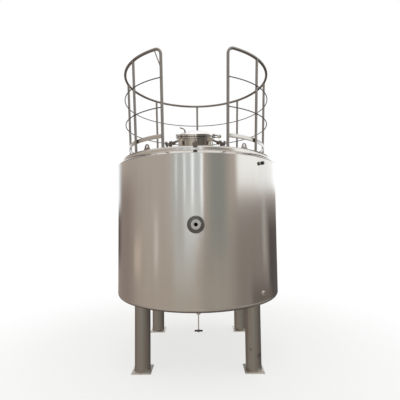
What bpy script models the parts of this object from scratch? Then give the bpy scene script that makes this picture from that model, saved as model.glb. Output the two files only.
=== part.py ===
"""Vertical storage tank on four tube legs, with a guard rail and a round manway.

Metres, +Z up. The origin is on the ground, midway between the four feet, and the
front of the tank, where the guard rail is open, faces -Y.
"""
import math

import bmesh
import bpy
from mathutils import Matrix, Vector

# General
GAP = 0.0003
BODY_SEGMENTS = 72
MANWAY_SEGMENTS = 48
PIPE_SEGMENTS = 24
SMALL_SEGMENTS = 12
POST_SEGMENTS = 16

# Body, closed below by a knuckled shallow cone and above by a shoulder and a conical head
BODY_RADIUS = 0.992
BODY_INNER_RADIUS = 0.922
BODY_BOTTOM_Z = 0.745
BODY_TOP_Z = 2.277
SKIN = 0.012
KNUCKLE = 0.040
KNUCKLE_STEPS = 4
BOTTOM_SLOPE = 0.20
SHOULDER_RADIUS = 0.940
SHOULDER_TOP_Z = 2.336
HEAD_LIP_Z = 2.354
HEAD_RIM_RADIUS = 0.918
HEAD_RIM_Z = 2.367
HEAD_SLOPE = 0.235
CROWN_RADIUS = 0.260
CROWN_STEPS = 3

# Legs and feet
LEG_OFFSET = 0.597
LEG_RADIUS = 0.08415
LEG_WALL = 0.006
PLATE_SIDE = 0.207
PLATE_THICKNESS = 0.012
PLATE_HOLE_RADIUS = 0.009
PLATE_HOLE_INSET = 0.019

# Guard rail
RAIL_FOOT_RADIUS = 0.876
RAIL_TOP_RADIUS = 0.916
RAIL_TOP_Z = 3.440
RAIL_TUBE = 0.016
POST_TUBE = 0.015
POST_AZIMUTHS = {"rail_post_left_front": -50.7, "rail_post_left_mid": -93.5,
                 "rail_post_left_rear": -137.0, "rail_post_rear": 180.0,
                 "rail_post_right_rear": 137.0, "rail_post_right_mid": 93.5,
                 "rail_post_right_front": 50.7}
RAIL_END_AZIMUTH = 23.0
RAIL_STEP = 4.9
RUN_END_AZIMUTH = 23.35
RAIL_BEND = 0.070
MID_ROD = 0.006
MID_ROD_SIDES = 6
MID_RAIL_Z = {"mid_rail_upper": 3.118, "mid_rail_lower": 2.800}
TOE_BOTTOM_Z = 2.482
TOE_HEIGHT = 0.046
TOE_THICKNESS = 0.004
SEAT_CLEARANCE = 0.0005

# Lifting lugs
LUG_RADIUS = 0.882
LUG_AZIMUTHS = {"lug_front_left": -36.8, "lug_front_right": 36.8,
                "lug_rear_left": -143.2, "lug_rear_right": 143.2}
LUG_WIDTH = 0.090
LUG_THICKNESS = 0.012
LUG_EYE_HEIGHT = 0.036
LUG_EYE_RADIUS = 0.028
LUG_HOLE_RADIUS = 0.015
LUG_EYE_START = 10
LUG_EYE_STEPS = 8
LUG_FOOT_STEPS = 4

# Manway, square to the conical head, in a frame of its own:
# X to the right, V up the slope, W out of the head
MANWAY_Y = -0.610
MANWAY_TILT = math.radians(14.0)
NECK_RADIUS = 0.193
NECK_WALL = 0.006
NECK_BELOW = 0.030
NECK_TOP = 0.094
FLANGE_RADIUS = 0.219
FLANGE_THICKNESS = 0.018
GASKET_INNER = 0.189
GASKET_OUTER = 0.198
GASKET_THICKNESS = 0.004
LID_THICKNESS = 0.026
DOME_RADIUS = 0.184
DOME_HEIGHT = 0.042
DOME_STEPS = 4
LID_SKIN = 0.004
NOTCH_HALF_WIDTH = 0.0125
NOTCH_INNER = 0.200

# Swing bolts round the manway
BOLT_AZIMUTHS = {"swing_bolt_1": 0.0, "swing_bolt_2": 60.0, "swing_bolt_3": 120.0,
                 "swing_bolt_4": 180.0, "swing_bolt_5": 240.0, "swing_bolt_6": 300.0}
BOLT_DROOPS = {"swing_bolt_1": 15.8, "swing_bolt_2": 15.0, "swing_bolt_3": 20.5,
               "swing_bolt_4": 12.5, "swing_bolt_5": 20.5, "swing_bolt_6": 15.0}
BOLT_PIVOT_RADIUS = 0.216
BOLT_PIVOT_W = 0.056
BOLT_ROD = 0.007
BOLT_EYE_RADIUS = 0.0125
BOLT_EYE_HALF_WIDTH = 0.007
BOLT_PIN_RADIUS = 0.005
BOLT_PIN_CLEARANCE = 0.0006
BOLT_SHANK_START = 0.004
BOLT_BLOCK_START = 0.074
BOLT_BLOCK_END = 0.102
BOLT_BLOCK_RADIUS = 0.0205
BOLT_KNOB_START = 0.131
BOLT_KNOB_END = 0.151
BOLT_KNOB_RADIUS = 0.029
BOLT_KNOB_BEVEL = 0.006
BOLT_KNOB_INSET = 0.005
EAR_THICKNESS = 0.005
EAR_HEIGHT = 0.024
EAR_CLEARANCE = 0.001
EAR_BEYOND_PIVOT = 0.011
EAR_ROOT = 0.004
PIN_PROUD = 0.003

# Hinge of the lid, at the right of the manway
HINGE_X = 0.262
HINGE_W = 0.096
HINGE_BARREL = 0.021
HINGE_HALF_LENGTH = 0.038
HINGE_PIN = 0.008
HINGE_PIN_CLEARANCE = 0.0006
HINGE_PIN_PROUD = 0.004
HINGE_ARM_HALF = 0.018
HINGE_KNUCKLE_GAP = 0.0015
HINGE_SLOT_CLEARANCE = 0.003
HINGE_LEAF_THICKNESS = 0.014
HINGE_LEAF_GAP = 0.003
HINGE_LEAF_ROOT = 0.015

# Handle of the lid, at the left
HANDLE_ROD = 0.0055
HANDLE_HALF_SPAN = 0.052
HANDLE_X = -0.116
HANDLE_LEAN = ((-0.004, 0.022), (-0.018, 0.036), (-0.052, 0.046))
HANDLE_FILLET = 0.006
HANDLE_SINK = 0.00105

# Brace rod under the handrail's left end
BRACE_ROD = 0.006
BRACE_TOP_AZIMUTH = 28.2
BRACE_FOOT_Z = 3.220

# Fittings in the side of the body
FRONT_PORT_Z = 1.567
PORT_RING_RADIUS = 0.084
PORT_RING_PROUD = 0.018
PORT_RING_STEP = 0.004
PORT_RIDGE = 0.006
EDGE_BEVEL = 0.003
PORT_FERRULE_RADIUS = 0.0503
PORT_FERRULE_PROUD = 0.030
PORT_BORE_RADIUS = 0.0186
SIDE_PORT_AZIMUTH = 45.0
UPPER_PORT_Z = 2.214
UPPER_PORT_RADIUS = 0.016
UPPER_CAP_RADIUS = 0.0195
UPPER_CAP_LENGTH = 0.022
UPPER_PORT_PROUD = 0.040
LOWER_PORT_Z = 0.830
LOWER_PORT_RADIUS = 0.025
LOWER_PORT_PROUD = 0.014
LOWER_PORT_BEVEL = 0.004
PORT_INSIDE = 0.020

# Outlet under the body, with the stem and T handle of its plug
OUTLET_RADIUS = 0.0325
OUTLET_BOTTOM_Z = 0.402
STEM_RADIUS = 0.0073
STEM_CLEARANCE = 0.0006
STEM_BOTTOM_Z = 0.192
PLUG_RADIUS = 0.022
PLUG_THICKNESS = 0.010
T_HALF_LENGTH = 0.0525
T_RADIUS = 0.012
T_CENTRE_Z = 0.197

STEEL = (0.62, 0.59, 0.55)
SATIN = (0.42, 0.40, 0.37)
RAIL_STEEL = (0.45, 0.42, 0.39)
POLISHED = (0.72, 0.70, 0.68)
DARK = (0.05, 0.05, 0.05)
GREY = (0.20, 0.20, 0.20)


def clear_scene():
    """Remove every object of the open scene."""
    for item in list(bpy.data.objects):
        bpy.data.objects.remove(item, do_unlink=True)


def make_material(name, colour, roughness, metallic):
    """Return a Principled material of one colour."""
    made = bpy.data.materials.new(name)
    made.use_nodes = True
    shader = made.node_tree.nodes["Principled BSDF"]
    shader.inputs["Base Color"].default_value = (*colour, 1.0)
    shader.inputs["Roughness"].default_value = roughness
    shader.inputs["Metallic"].default_value = metallic
    return made


def add_object(name, bm, colour, roughness=0.35, metallic=1.0, matrix=None):
    """Turn a bmesh into a named object with a material of its own."""
    bmesh.ops.recalc_face_normals(bm, faces=bm.faces)
    mesh = bpy.data.meshes.new(name)
    bm.to_mesh(mesh)
    bm.free()
    mesh.shade_smooth()
    mesh.set_sharp_from_angle(angle=math.radians(35))
    mesh.materials.append(make_material(name, colour, roughness, metallic))
    made = bpy.data.objects.new(name, mesh)
    bpy.context.collection.objects.link(made)
    if matrix is not None:
        made.matrix_world = matrix
    return made


def add_cutter(name, bm, matrix=None):
    """Turn a bmesh into a hidden guide for a Boolean."""
    made = add_object(name, bm, DARK, matrix=matrix)
    made.hide_render = True
    made.display_type = "WIRE"
    return made


def boolean(target, other, operation="DIFFERENCE"):
    """Cut or join a target with another object by an exact Boolean."""
    modifier = target.modifiers.new(f"{operation.lower()}_{other.name}", "BOOLEAN")
    modifier.operation = operation
    modifier.solver = "EXACT"
    modifier.object = other


def turned(profile, segments, closed=True):
    """Return a bmesh of a profile of (radius, height) points turned about Z.

    A closed profile is a ring's section; an open one starts and ends on the axis.
    """
    bm = bmesh.new()
    verts = [bm.verts.new((radius, 0.0, height)) for radius, height in profile]
    pairs = list(zip(verts, verts[1:] + verts[:1])) if closed else list(zip(verts, verts[1:]))
    edges = [bm.edges.new(pair) for pair in pairs]
    bmesh.ops.spin(bm, geom=verts + edges, cent=(0, 0, 0), axis=(0, 0, 1), angle=math.tau,
                   steps=segments, use_merge=True)
    bmesh.ops.remove_doubles(bm, verts=bm.verts, dist=0.00001)
    return bm


def disc_stack(steps, segments):
    """Return a turned solid from (radius, height) steps, closed on the axis at both ends."""
    profile = [(0.0, steps[0][1]), *steps, (0.0, steps[-1][1])]
    return turned(profile, segments, closed=False)


def block(low, high):
    """Return a bmesh box between two corners."""
    bm = bmesh.new()
    bmesh.ops.create_cube(bm, size=1.0)
    low, high = Vector(low), Vector(high)
    size = high - low
    bmesh.ops.scale(bm, vec=size, verts=bm.verts)
    bmesh.ops.translate(bm, vec=(low + high) / 2, verts=bm.verts)
    return bm


def prism(outline, low, high):
    """Return a bmesh of an outline of (x, z) points drawn out from y = low to y = high."""
    bm = bmesh.new()
    face = bm.faces.new([bm.verts.new((x, low, z)) for x, z in outline])
    made = bmesh.ops.extrude_face_region(bm, geom=[face])
    moved = [item for item in made["geom"] if isinstance(item, bmesh.types.BMVert)]
    bmesh.ops.translate(bm, vec=(0, high - low, 0), verts=moved)
    return bm


def join_bmeshes(parts):
    """Return one bmesh that holds several, which don't touch each other."""
    whole = bmesh.new()
    for part in parts:
        mesh = bpy.data.meshes.new("joined")
        part.to_mesh(mesh)
        part.free()
        whole.from_mesh(mesh)
        bpy.data.meshes.remove(mesh)
    return whole


def sweep(rings, caps=True):
    """Return a bmesh skinned over a list of rings of points, closed at both ends."""
    bm = bmesh.new()
    loops = [[bm.verts.new(point) for point in ring] for ring in rings]
    for first, second in zip(loops, loops[1:]):
        count = len(first)
        for index in range(count):
            after = (index + 1) % count
            bm.faces.new((first[index], first[after], second[after], second[index]))
    if caps:
        bm.faces.new(loops[0])
        bm.faces.new(loops[-1])
    return bm


def around(radius, azimuth, height):
    """Return the point at an azimuth in degrees, counted from the front towards +X."""
    angle = math.radians(azimuth)
    return Vector((radius * math.sin(angle), -radius * math.cos(angle), height))


def facing(azimuth, radius, height):
    """Return a frame whose Z points outwards from the body's axis at an azimuth."""
    angle = math.radians(azimuth)
    outward = Vector((math.sin(angle), -math.cos(angle), 0.0))
    side = Vector((math.cos(angle), math.sin(angle), 0.0))
    up = outward.cross(side)
    frame = Matrix((side, up, outward)).transposed().to_4x4()
    frame.translation = outward * radius + Vector((0, 0, height))
    return frame


def along(start, end):
    """Return a frame at one point whose Z runs towards another."""
    turn = (end - start).to_track_quat("Z", "Y").to_matrix().to_4x4()
    return Matrix.Translation(start) @ turn


def head_height(radius):
    """Return the height of the conical head's outer surface at a radius."""
    if radius >= CROWN_RADIUS:
        return HEAD_RIM_Z + HEAD_SLOPE * (HEAD_RIM_RADIUS - radius)
    edge = HEAD_RIM_Z + HEAD_SLOPE * (HEAD_RIM_RADIUS - CROWN_RADIUS)
    return edge + HEAD_SLOPE * (CROWN_RADIUS - radius ** 2 / CROWN_RADIUS) / 2


def bottom_height(radius):
    """Return the height of the bottom cone's outer surface at a radius."""
    return BODY_BOTTOM_Z - KNUCKLE - BOTTOM_SLOPE * (BODY_RADIUS - KNUCKLE - radius)


def rail_radius(height):
    """Return the radius of the guard rail's posts, which lean out a little, at a height."""
    foot = head_height(RAIL_FOOT_RADIUS)
    share = (height - foot) / (RAIL_TOP_Z - foot)
    return RAIL_FOOT_RADIUS + share * (RAIL_TOP_RADIUS - RAIL_FOOT_RADIUS)


def manway_frame():
    """Return the frame of the manway, with its origin where its axis leaves the head."""
    tilt = Matrix.Rotation(MANWAY_TILT, 4, "X")
    return Matrix.Translation((0, MANWAY_Y, head_height(-MANWAY_Y))) @ tilt


def bolt_frame(azimuth):
    """Return a frame at a swing bolt's pivot: X outwards, Y along the pin, Z along W."""
    angle = math.radians(azimuth)
    outward = Vector((math.sin(angle), -math.cos(angle), 0.0))
    along_w = Vector((0, 0, 1))
    pin = along_w.cross(outward)
    local = Matrix((outward, pin, along_w)).transposed().to_4x4()
    local.translation = outward * BOLT_PIVOT_RADIUS + Vector((0, 0, BOLT_PIVOT_W))
    return manway_frame() @ local


def dome_height(radius):
    """Return how far the lid's dome stands above its flange at a radius."""
    sphere = (DOME_RADIUS ** 2 + DOME_HEIGHT ** 2) / (2 * DOME_HEIGHT)
    return math.sqrt(sphere ** 2 - radius ** 2) - (sphere - DOME_HEIGHT)


def rounded(points, fillet, steps=3):
    """Return a polyline with each inner corner replaced by a short curve."""
    path = [points[0]]
    for before, corner, after in zip(points, points[1:], points[2:]):
        enter = corner + (before - corner).normalized() * fillet
        leave = corner + (after - corner).normalized() * fillet
        for step in range(steps + 1):
            share = step / steps
            path.append(enter.lerp(corner, share).lerp(corner.lerp(leave, share), share))
    return path + [points[-1]]


def rod(name, points, radius, colour, resolution=2, matrix=None):
    """Add a round rod along a polyline, closed at both ends."""
    data = bpy.data.curves.new(name, "CURVE")
    data.dimensions = "3D"
    data.bevel_depth = radius
    data.bevel_resolution = resolution
    data.use_fill_caps = True
    spline = data.splines.new("POLY")
    spline.points.add(len(points) - 1)
    for slot, point in zip(spline.points, points):
        slot.co = (*point, 1.0)
    data.materials.append(make_material(name, colour, 0.35, 1.0))
    made = bpy.data.objects.new(name, data)
    bpy.context.collection.objects.link(made)
    if matrix is not None:
        made.matrix_world = matrix


def build_body():
    """The jacketed wall of the body, with holes for its three fittings."""
    low, high = BODY_BOTTOM_Z, BODY_TOP_Z
    wall = [(BODY_RADIUS, high), (BODY_RADIUS, low), (BODY_INNER_RADIUS, low),
            (BODY_INNER_RADIUS, high)]
    body = add_object("body_shell", turned(wall, BODY_SEGMENTS), STEEL, 0.3)
    for name, azimuth, height, radius in (
            ("front_port_hole", 0.0, FRONT_PORT_Z, PORT_RING_RADIUS),
            ("upper_port_hole", SIDE_PORT_AZIMUTH, UPPER_PORT_Z, UPPER_PORT_RADIUS),
            ("lower_port_hole", SIDE_PORT_AZIMUTH, LOWER_PORT_Z, LOWER_PORT_RADIUS)):
        depth = BODY_RADIUS - BODY_INNER_RADIUS
        sides = [(radius + GAP, -2 * depth), (radius + GAP, depth)]
        hole = disc_stack(sides, PIPE_SEGMENTS)
        boolean(body, add_cutter(name, hole, facing(azimuth, BODY_RADIUS, height)))


def build_bottom():
    """The closed bottom: a knuckle at the wall and a shallow cone down to the outlet."""
    centre = (BODY_RADIUS - KNUCKLE, BODY_BOTTOM_Z - GAP)
    knuckle = []
    for step in range(KNUCKLE_STEPS + 1):
        turn = math.pi / 2 * step / KNUCKLE_STEPS
        knuckle.append((centre[0] + KNUCKLE * math.cos(turn), centre[1] - KNUCKLE * math.sin(turn)))
    hole = OUTLET_RADIUS + GAP
    inner_edge = BODY_INNER_RADIUS - 2 * SKIN
    section = [*knuckle, (hole, bottom_height(hole)), (hole, bottom_height(hole) + SKIN),
               (inner_edge, bottom_height(inner_edge) + SKIN),
               (BODY_INNER_RADIUS, bottom_height(BODY_INNER_RADIUS) + 2 * SKIN),
               (BODY_INNER_RADIUS, BODY_BOTTOM_Z - GAP)]
    add_object("bottom_head", turned(section, BODY_SEGMENTS), STEEL, 0.35)


def build_top():
    """The sloping shoulder on the wall and the conical head, with the manway's hole."""
    base = BODY_TOP_Z + GAP
    shoulder = [(BODY_INNER_RADIUS, base), (BODY_RADIUS, base), (BODY_RADIUS - 0.004, base + 0.006),
                (SHOULDER_RADIUS, SHOULDER_TOP_Z), (BODY_INNER_RADIUS, SHOULDER_TOP_Z)]
    add_object("shoulder_ring", turned(shoulder, BODY_SEGMENTS), STEEL, 0.3)
    seat = SHOULDER_TOP_Z + GAP
    lip = SHOULDER_RADIUS - 0.005
    crown = [CROWN_RADIUS * step / CROWN_STEPS for step in range(CROWN_STEPS, -1, -1)]
    outside = [(lip, seat), (lip, HEAD_LIP_Z), (lip - 0.006, HEAD_RIM_Z - 0.004),
               (HEAD_RIM_RADIUS, HEAD_RIM_Z)] + [(radius, head_height(radius)) for radius in crown]
    inside = [(radius, head_height(radius) - SKIN) for radius in reversed(crown)]
    inner = BODY_INNER_RADIUS - SKIN
    section = outside + inside + [(inner, head_height(inner) - SKIN), (inner, seat)]
    bm = turned(section + [section[0]], BODY_SEGMENTS, closed=False)
    head = add_object("top_head", bm, STEEL, 0.3)
    sides = [(NECK_RADIUS + GAP, -0.2), (NECK_RADIUS + GAP, 0.2)]
    boolean(head, add_cutter("manway_hole", disc_stack(sides, MANWAY_SEGMENTS), manway_frame()))


def build_legs():
    """Four tube legs coped to the bottom cone, each on a square plate with four holes."""
    for front, y_sign in (("front", -1), ("rear", 1)):
        for side, x_sign in (("left", -1), ("right", 1)):
            centre = Vector((x_sign * LEG_OFFSET, y_sign * LEG_OFFSET, 0.0))
            inner = LEG_RADIUS - LEG_WALL
            foot = PLATE_THICKNESS + GAP
            wall = [(LEG_RADIUS, 1.0), (LEG_RADIUS, foot), (inner, foot), (inner, 1.0)]
            bm = turned(wall, PIPE_SEGMENTS)
            for vert in bm.verts:
                if vert.co.z > 0.5:
                    reach = (vert.co + centre).xy.length
                    vert.co.z = bottom_height(min(reach, BODY_RADIUS - KNUCKLE)) - 2 * GAP
            add_object(f"leg_{front}_{side}", bm, SATIN, 0.45, matrix=Matrix.Translation(centre))
            half = PLATE_SIDE / 2
            plate = add_object(f"base_plate_{front}_{side}",
                               block((-half, -half, 0), (half, half, PLATE_THICKNESS)), SATIN, 0.4,
                               matrix=Matrix.Translation(centre))
            reach = half - PLATE_HOLE_INSET
            holes = []
            for x, y in ((-reach, -reach), (reach, -reach), (-reach, reach), (reach, reach)):
                hole = disc_stack([(PLATE_HOLE_RADIUS, -0.01), (PLATE_HOLE_RADIUS, 0.03)], SMALL_SEGMENTS)
                bmesh.ops.translate(hole, vec=(x, y, 0), verts=hole.verts)
                holes.append(hole)
            cutter = add_cutter(f"plate_holes_{front}_{side}", join_bmeshes(holes),
                                Matrix.Translation(centre))
            boolean(plate, cutter)


def rail_azimuths(end):
    """Return azimuths from one end of the guard rail round to the other, one at each post."""
    stops = sorted([end, 360 - end] + [azimuth % 360 for azimuth in POST_AZIMUTHS.values()])
    azimuths = []
    for first, last in zip(stops, stops[1:]):
        count = math.ceil((last - first) / RAIL_STEP)
        azimuths += [first + (last - first) * step / count for step in range(count)]
    return azimuths + [stops[-1]]


def handrail_path():
    """Return the handrail's centre line: up one end post, round the ring, down the other."""
    bend_angle = math.degrees(RAIL_BEND / RAIL_TOP_RADIUS)
    top_arc = rail_azimuths(RAIL_END_AZIMUTH + bend_angle)
    foot_z = head_height(RAIL_FOOT_RADIUS - RAIL_TUBE) + 2 * GAP
    straight_top = RAIL_TOP_Z - RAIL_BEND
    path = []
    for height in (foot_z, straight_top):
        path.append(around(rail_radius(height), RAIL_END_AZIMUTH, height))
    for step in range(1, 5):
        turn = math.pi / 2 * step / 5
        azimuth = RAIL_END_AZIMUTH + bend_angle * (1 - math.cos(turn))
        height = straight_top + RAIL_BEND * math.sin(turn)
        path.append(around(rail_radius(height), azimuth, height))
    half = list(path)
    path += [around(RAIL_TOP_RADIUS, azimuth, RAIL_TOP_Z) for azimuth in top_arc]
    path += [Vector((-point.x, point.y, point.z)) for point in reversed(half)]
    return path


def build_handrail():
    """The handrail, whose two ends bend down to the head and leave the front open."""
    rod("handrail", handrail_path(), RAIL_TUBE, RAIL_STEEL, resolution=3)


def build_posts():
    """The seven posts between the ends, each coped under the handrail and seated on the head."""
    count = POST_SEGMENTS
    for name, azimuth in POST_AZIMUTHS.items():
        outward = around(1.0, azimuth, 0.0)
        side = Vector((0, 0, 1)).cross(outward)
        low_ring, high_ring = [], []
        for step in range(count):
            turn = math.tau * step / count
            reach = POST_TUBE * math.cos(turn)
            spoke = outward * reach + side * POST_TUBE * math.sin(turn)
            low = outward * RAIL_FOOT_RADIUS + spoke
            low.z = head_height(low.xy.length) + GAP
            high = outward * RAIL_TOP_RADIUS + spoke
            high.z = RAIL_TOP_Z - math.sqrt((RAIL_TUBE + SEAT_CLEARANCE) ** 2 - reach ** 2)
            low_ring.append(low)
            high_ring.append(high)
        bm = sweep([low_ring, high_ring], caps=False)
        bm.verts.ensure_lookup_table()
        for ring in (bm.verts[:count], bm.verts[count:]):
            for first in range(count // 2):
                places = (first, first + 1, count - first - 1, (count - first) % count)
                bm.faces.new([ring[place] for place in dict.fromkeys(places)])
        add_object(name, bm, RAIL_STEEL, 0.4)


def arc_rings(section):
    """Return rings of a (radius, height) section carried round the back between the end posts."""
    azimuths = rail_azimuths(RUN_END_AZIMUTH)
    return [[around(radius, azimuth, height) for radius, height in section] for azimuth in azimuths]


def build_mid_rails():
    """Two thin rods round the outside of the posts, ending at the end posts."""
    for name, height in MID_RAIL_Z.items():
        radius = rail_radius(height) + POST_TUBE + MID_ROD + SEAT_CLEARANCE
        section = []
        for step in range(MID_ROD_SIDES):
            turn = math.tau * step / MID_ROD_SIDES
            section.append((radius + MID_ROD * math.cos(turn), height + MID_ROD * math.sin(turn)))
        add_object(name, sweep(arc_rings(section)), RAIL_STEEL, 0.4)


def build_toe_board():
    """A flat bar round the inside of the posts' feet, leaning out as they do."""
    top = TOE_BOTTOM_Z + TOE_HEIGHT
    low_face, high_face = (rail_radius(height) - POST_TUBE - SEAT_CLEARANCE
                           for height in (TOE_BOTTOM_Z, top))
    section = [(low_face - TOE_THICKNESS, TOE_BOTTOM_Z), (low_face, TOE_BOTTOM_Z), (high_face, top),
               (high_face - TOE_THICKNESS, top)]
    add_object("toe_board", sweep(arc_rings(section)), RAIL_STEEL, 0.35)


def build_corner_brace():
    """A short rod from under the handrail down to the left end post, coped to both."""
    top = around(RAIL_TOP_RADIUS, -BRACE_TOP_AZIMUTH, RAIL_TOP_Z)
    foot = around(rail_radius(BRACE_FOOT_Z), -RAIL_END_AZIMUTH, BRACE_FOOT_Z)
    bm = disc_stack([(BRACE_ROD, 0.0), (BRACE_ROD, (top - foot).length)], SMALL_SEGMENTS)
    brace = add_object("corner_brace", bm, RAIL_STEEL, 0.4, matrix=along(foot, top))
    post_end = around(rail_radius(RAIL_TOP_Z), -RAIL_END_AZIMUTH, RAIL_TOP_Z)
    rail_end = top + Vector((0, 0, 1)).cross(around(1.0, -BRACE_TOP_AZIMUTH, 0.0))
    reach = (top - foot).length
    radius = RAIL_TUBE + 2 * SEAT_CLEARANCE
    for name, start, end in (("brace_cope_low", foot, post_end), ("brace_cope_high", top, rail_end)):
        cope = disc_stack([(radius, -reach), (radius, reach)], PIPE_SEGMENTS)
        boolean(brace, add_cutter(name, cope, along(start, end)))


def build_lugs():
    """Four lifting lugs: plates standing on the head, round at the top, with a hole."""
    for name, azimuth in LUG_AZIMUTHS.items():
        outline = []
        for step in range(LUG_FOOT_STEPS + 1):
            outline.append((-LUG_WIDTH / 2 + LUG_WIDTH * step / LUG_FOOT_STEPS, 0.0))
        for step in range(LUG_EYE_STEPS + 1):
            turn = math.radians(LUG_EYE_START + (180 - 2 * LUG_EYE_START) * step / LUG_EYE_STEPS)
            outline.append((LUG_EYE_RADIUS * math.cos(turn),
                            LUG_EYE_HEIGHT + LUG_EYE_RADIUS * math.sin(turn)))
        bm = prism(outline, -LUG_THICKNESS / 2, LUG_THICKNESS / 2)
        angle = math.radians(azimuth)
        base = head_height(LUG_RADIUS)
        place = Matrix.Translation(around(LUG_RADIUS, azimuth, base)) @ Matrix.Rotation(angle, 4, "Z")
        for vert in bm.verts:
            if vert.co.z < 0.001:
                vert.co.z = head_height((place @ vert.co).xy.length) - base + 2 * GAP
        lug = add_object(name, bm, SATIN, 0.4, matrix=place)
        hole = disc_stack([(LUG_HOLE_RADIUS, -0.03), (LUG_HOLE_RADIUS, 0.03)], SMALL_SEGMENTS)
        lay = Matrix.Translation((0, 0, LUG_EYE_HEIGHT)) @ Matrix.Rotation(math.pi / 2, 4, "X")
        boolean(lug, add_cutter(f"{name}_hole", hole, place @ lay))


def notch_cutters():
    """Return the slots that the swing bolts stand in, as one set of blocks."""
    parts = []
    for azimuth in BOLT_AZIMUTHS.values():
        bm = block((NOTCH_INNER, -NOTCH_HALF_WIDTH, 0.05), (FLANGE_RADIUS + 0.02, NOTCH_HALF_WIDTH, 0.16))
        bmesh.ops.rotate(bm, cent=(0, 0, 0), verts=bm.verts,
                         matrix=Matrix.Rotation(math.radians(azimuth) - math.pi / 2, 3, "Z"))
        parts.append(bm)
    return join_bmeshes(parts)


def ear_parts():
    """Return the pairs of ears that hold the swing bolts, with their pins, as solids."""
    ears, pins = [], []
    inner_face = BOLT_EYE_HALF_WIDTH + EAR_CLEARANCE
    for azimuth in BOLT_AZIMUTHS.values():
        turn = Matrix.Rotation(math.radians(azimuth) - math.pi / 2, 3, "Z")
        for side in (-1, 1):
            faces = sorted((side * inner_face, side * (inner_face + EAR_THICKNESS)))
            low_w = BOLT_PIVOT_W - EAR_HEIGHT / 2
            ear = block((NECK_RADIUS - EAR_ROOT, faces[0], low_w),
                        (BOLT_PIVOT_RADIUS + EAR_BEYOND_PIVOT, faces[1], low_w + EAR_HEIGHT))
            bmesh.ops.rotate(ear, cent=(0, 0, 0), matrix=turn, verts=ear.verts)
            ears.append(ear)
        reach = inner_face + EAR_THICKNESS + PIN_PROUD
        pin = disc_stack([(BOLT_PIN_RADIUS, -reach), (BOLT_PIN_RADIUS, reach)], SMALL_SEGMENTS)
        lay = Matrix.Rotation(math.pi / 2, 3, "X")
        bmesh.ops.rotate(pin, cent=(0, 0, 0), matrix=lay, verts=pin.verts)
        bmesh.ops.translate(pin, vec=(BOLT_PIVOT_RADIUS, 0, BOLT_PIVOT_W), verts=pin.verts)
        bmesh.ops.rotate(pin, cent=(0, 0, 0), matrix=turn, verts=pin.verts)
        pins.append(pin)
    return join_bmeshes(ears), join_bmeshes(pins)


def build_neck():
    """The manway's neck with its flange, the notches in it and the bolts' ears and pins."""
    place = manway_frame()
    inner = NECK_RADIUS - NECK_WALL
    under = NECK_TOP - FLANGE_THICKNESS
    section = [(inner, -NECK_BELOW), (NECK_RADIUS, -NECK_BELOW), (NECK_RADIUS, under),
               (FLANGE_RADIUS, under), (FLANGE_RADIUS, NECK_TOP), (inner, NECK_TOP)]
    neck = add_object("manway_neck", turned(section, MANWAY_SEGMENTS), POLISHED, 0.15, matrix=place)
    ears, pins = ear_parts()
    boolean(neck, add_cutter("manway_notches_low", notch_cutters(), place))
    boolean(neck, add_cutter("bolt_ears", ears, place), "UNION")
    boolean(neck, add_cutter("bolt_pins", pins, place), "UNION")


def build_gasket():
    """The seal between the neck and the lid."""
    low, high = NECK_TOP + GAP, NECK_TOP + GASKET_THICKNESS - GAP
    section = [(GASKET_INNER, low), (GASKET_OUTER, low), (GASKET_OUTER, high), (GASKET_INNER, high)]
    add_object("manway_gasket", turned(section, MANWAY_SEGMENTS), DARK, 0.7, 0.0, manway_frame())


def build_lid():
    """The lid: a notched flange with a low dome, hinged at its right by an arm and barrel."""
    low = NECK_TOP + GASKET_THICKNESS
    top = low + LID_THICKNESS
    radii = [DOME_RADIUS * (1 - step / DOME_STEPS) for step in range(DOME_STEPS + 1)]
    dome = [(radius, top + dome_height(radius)) for radius in radii]
    inside = [(radius, height - LID_SKIN) for radius, height in reversed(dome[1:])]
    section = [(FLANGE_RADIUS, low), (FLANGE_RADIUS, top), *dome, *inside, (GASKET_INNER, low)]
    bm = turned(section + [section[0]], MANWAY_SEGMENTS, closed=False)
    place = manway_frame()
    pivot = place @ Matrix.Translation((HINGE_X, 0, HINGE_W))
    bmesh.ops.translate(bm, vec=(-HINGE_X, 0, -HINGE_W), verts=bm.verts)
    lid = add_object("manway_lid", bm, POLISHED, 0.15, matrix=pivot)
    boolean(lid, add_cutter("manway_notches_high", notch_cutters(), place))
    arm_low = low - HINGE_W + HINGE_LEAF_GAP
    arm = block((FLANGE_RADIUS - HINGE_X - HINGE_LEAF_ROOT, -HINGE_ARM_HALF, arm_low),
                (0.0, HINGE_ARM_HALF, arm_low + HINGE_LEAF_THICKNESS))
    boolean(lid, add_cutter("hinge_arm", arm, pivot), "UNION")
    lay = Matrix.Rotation(math.pi / 2, 4, "X")
    barrel = disc_stack([(HINGE_BARREL, -HINGE_ARM_HALF), (HINGE_BARREL, HINGE_ARM_HALF)], PIPE_SEGMENTS)
    boolean(lid, add_cutter("hinge_barrel", barrel, pivot @ lay), "UNION")
    bore = HINGE_PIN + HINGE_PIN_CLEARANCE
    hole = disc_stack([(bore, -HINGE_HALF_LENGTH), (bore, HINGE_HALF_LENGTH)], PIPE_SEGMENTS)
    boolean(lid, add_cutter("hinge_bore", hole, pivot @ lay))


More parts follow.
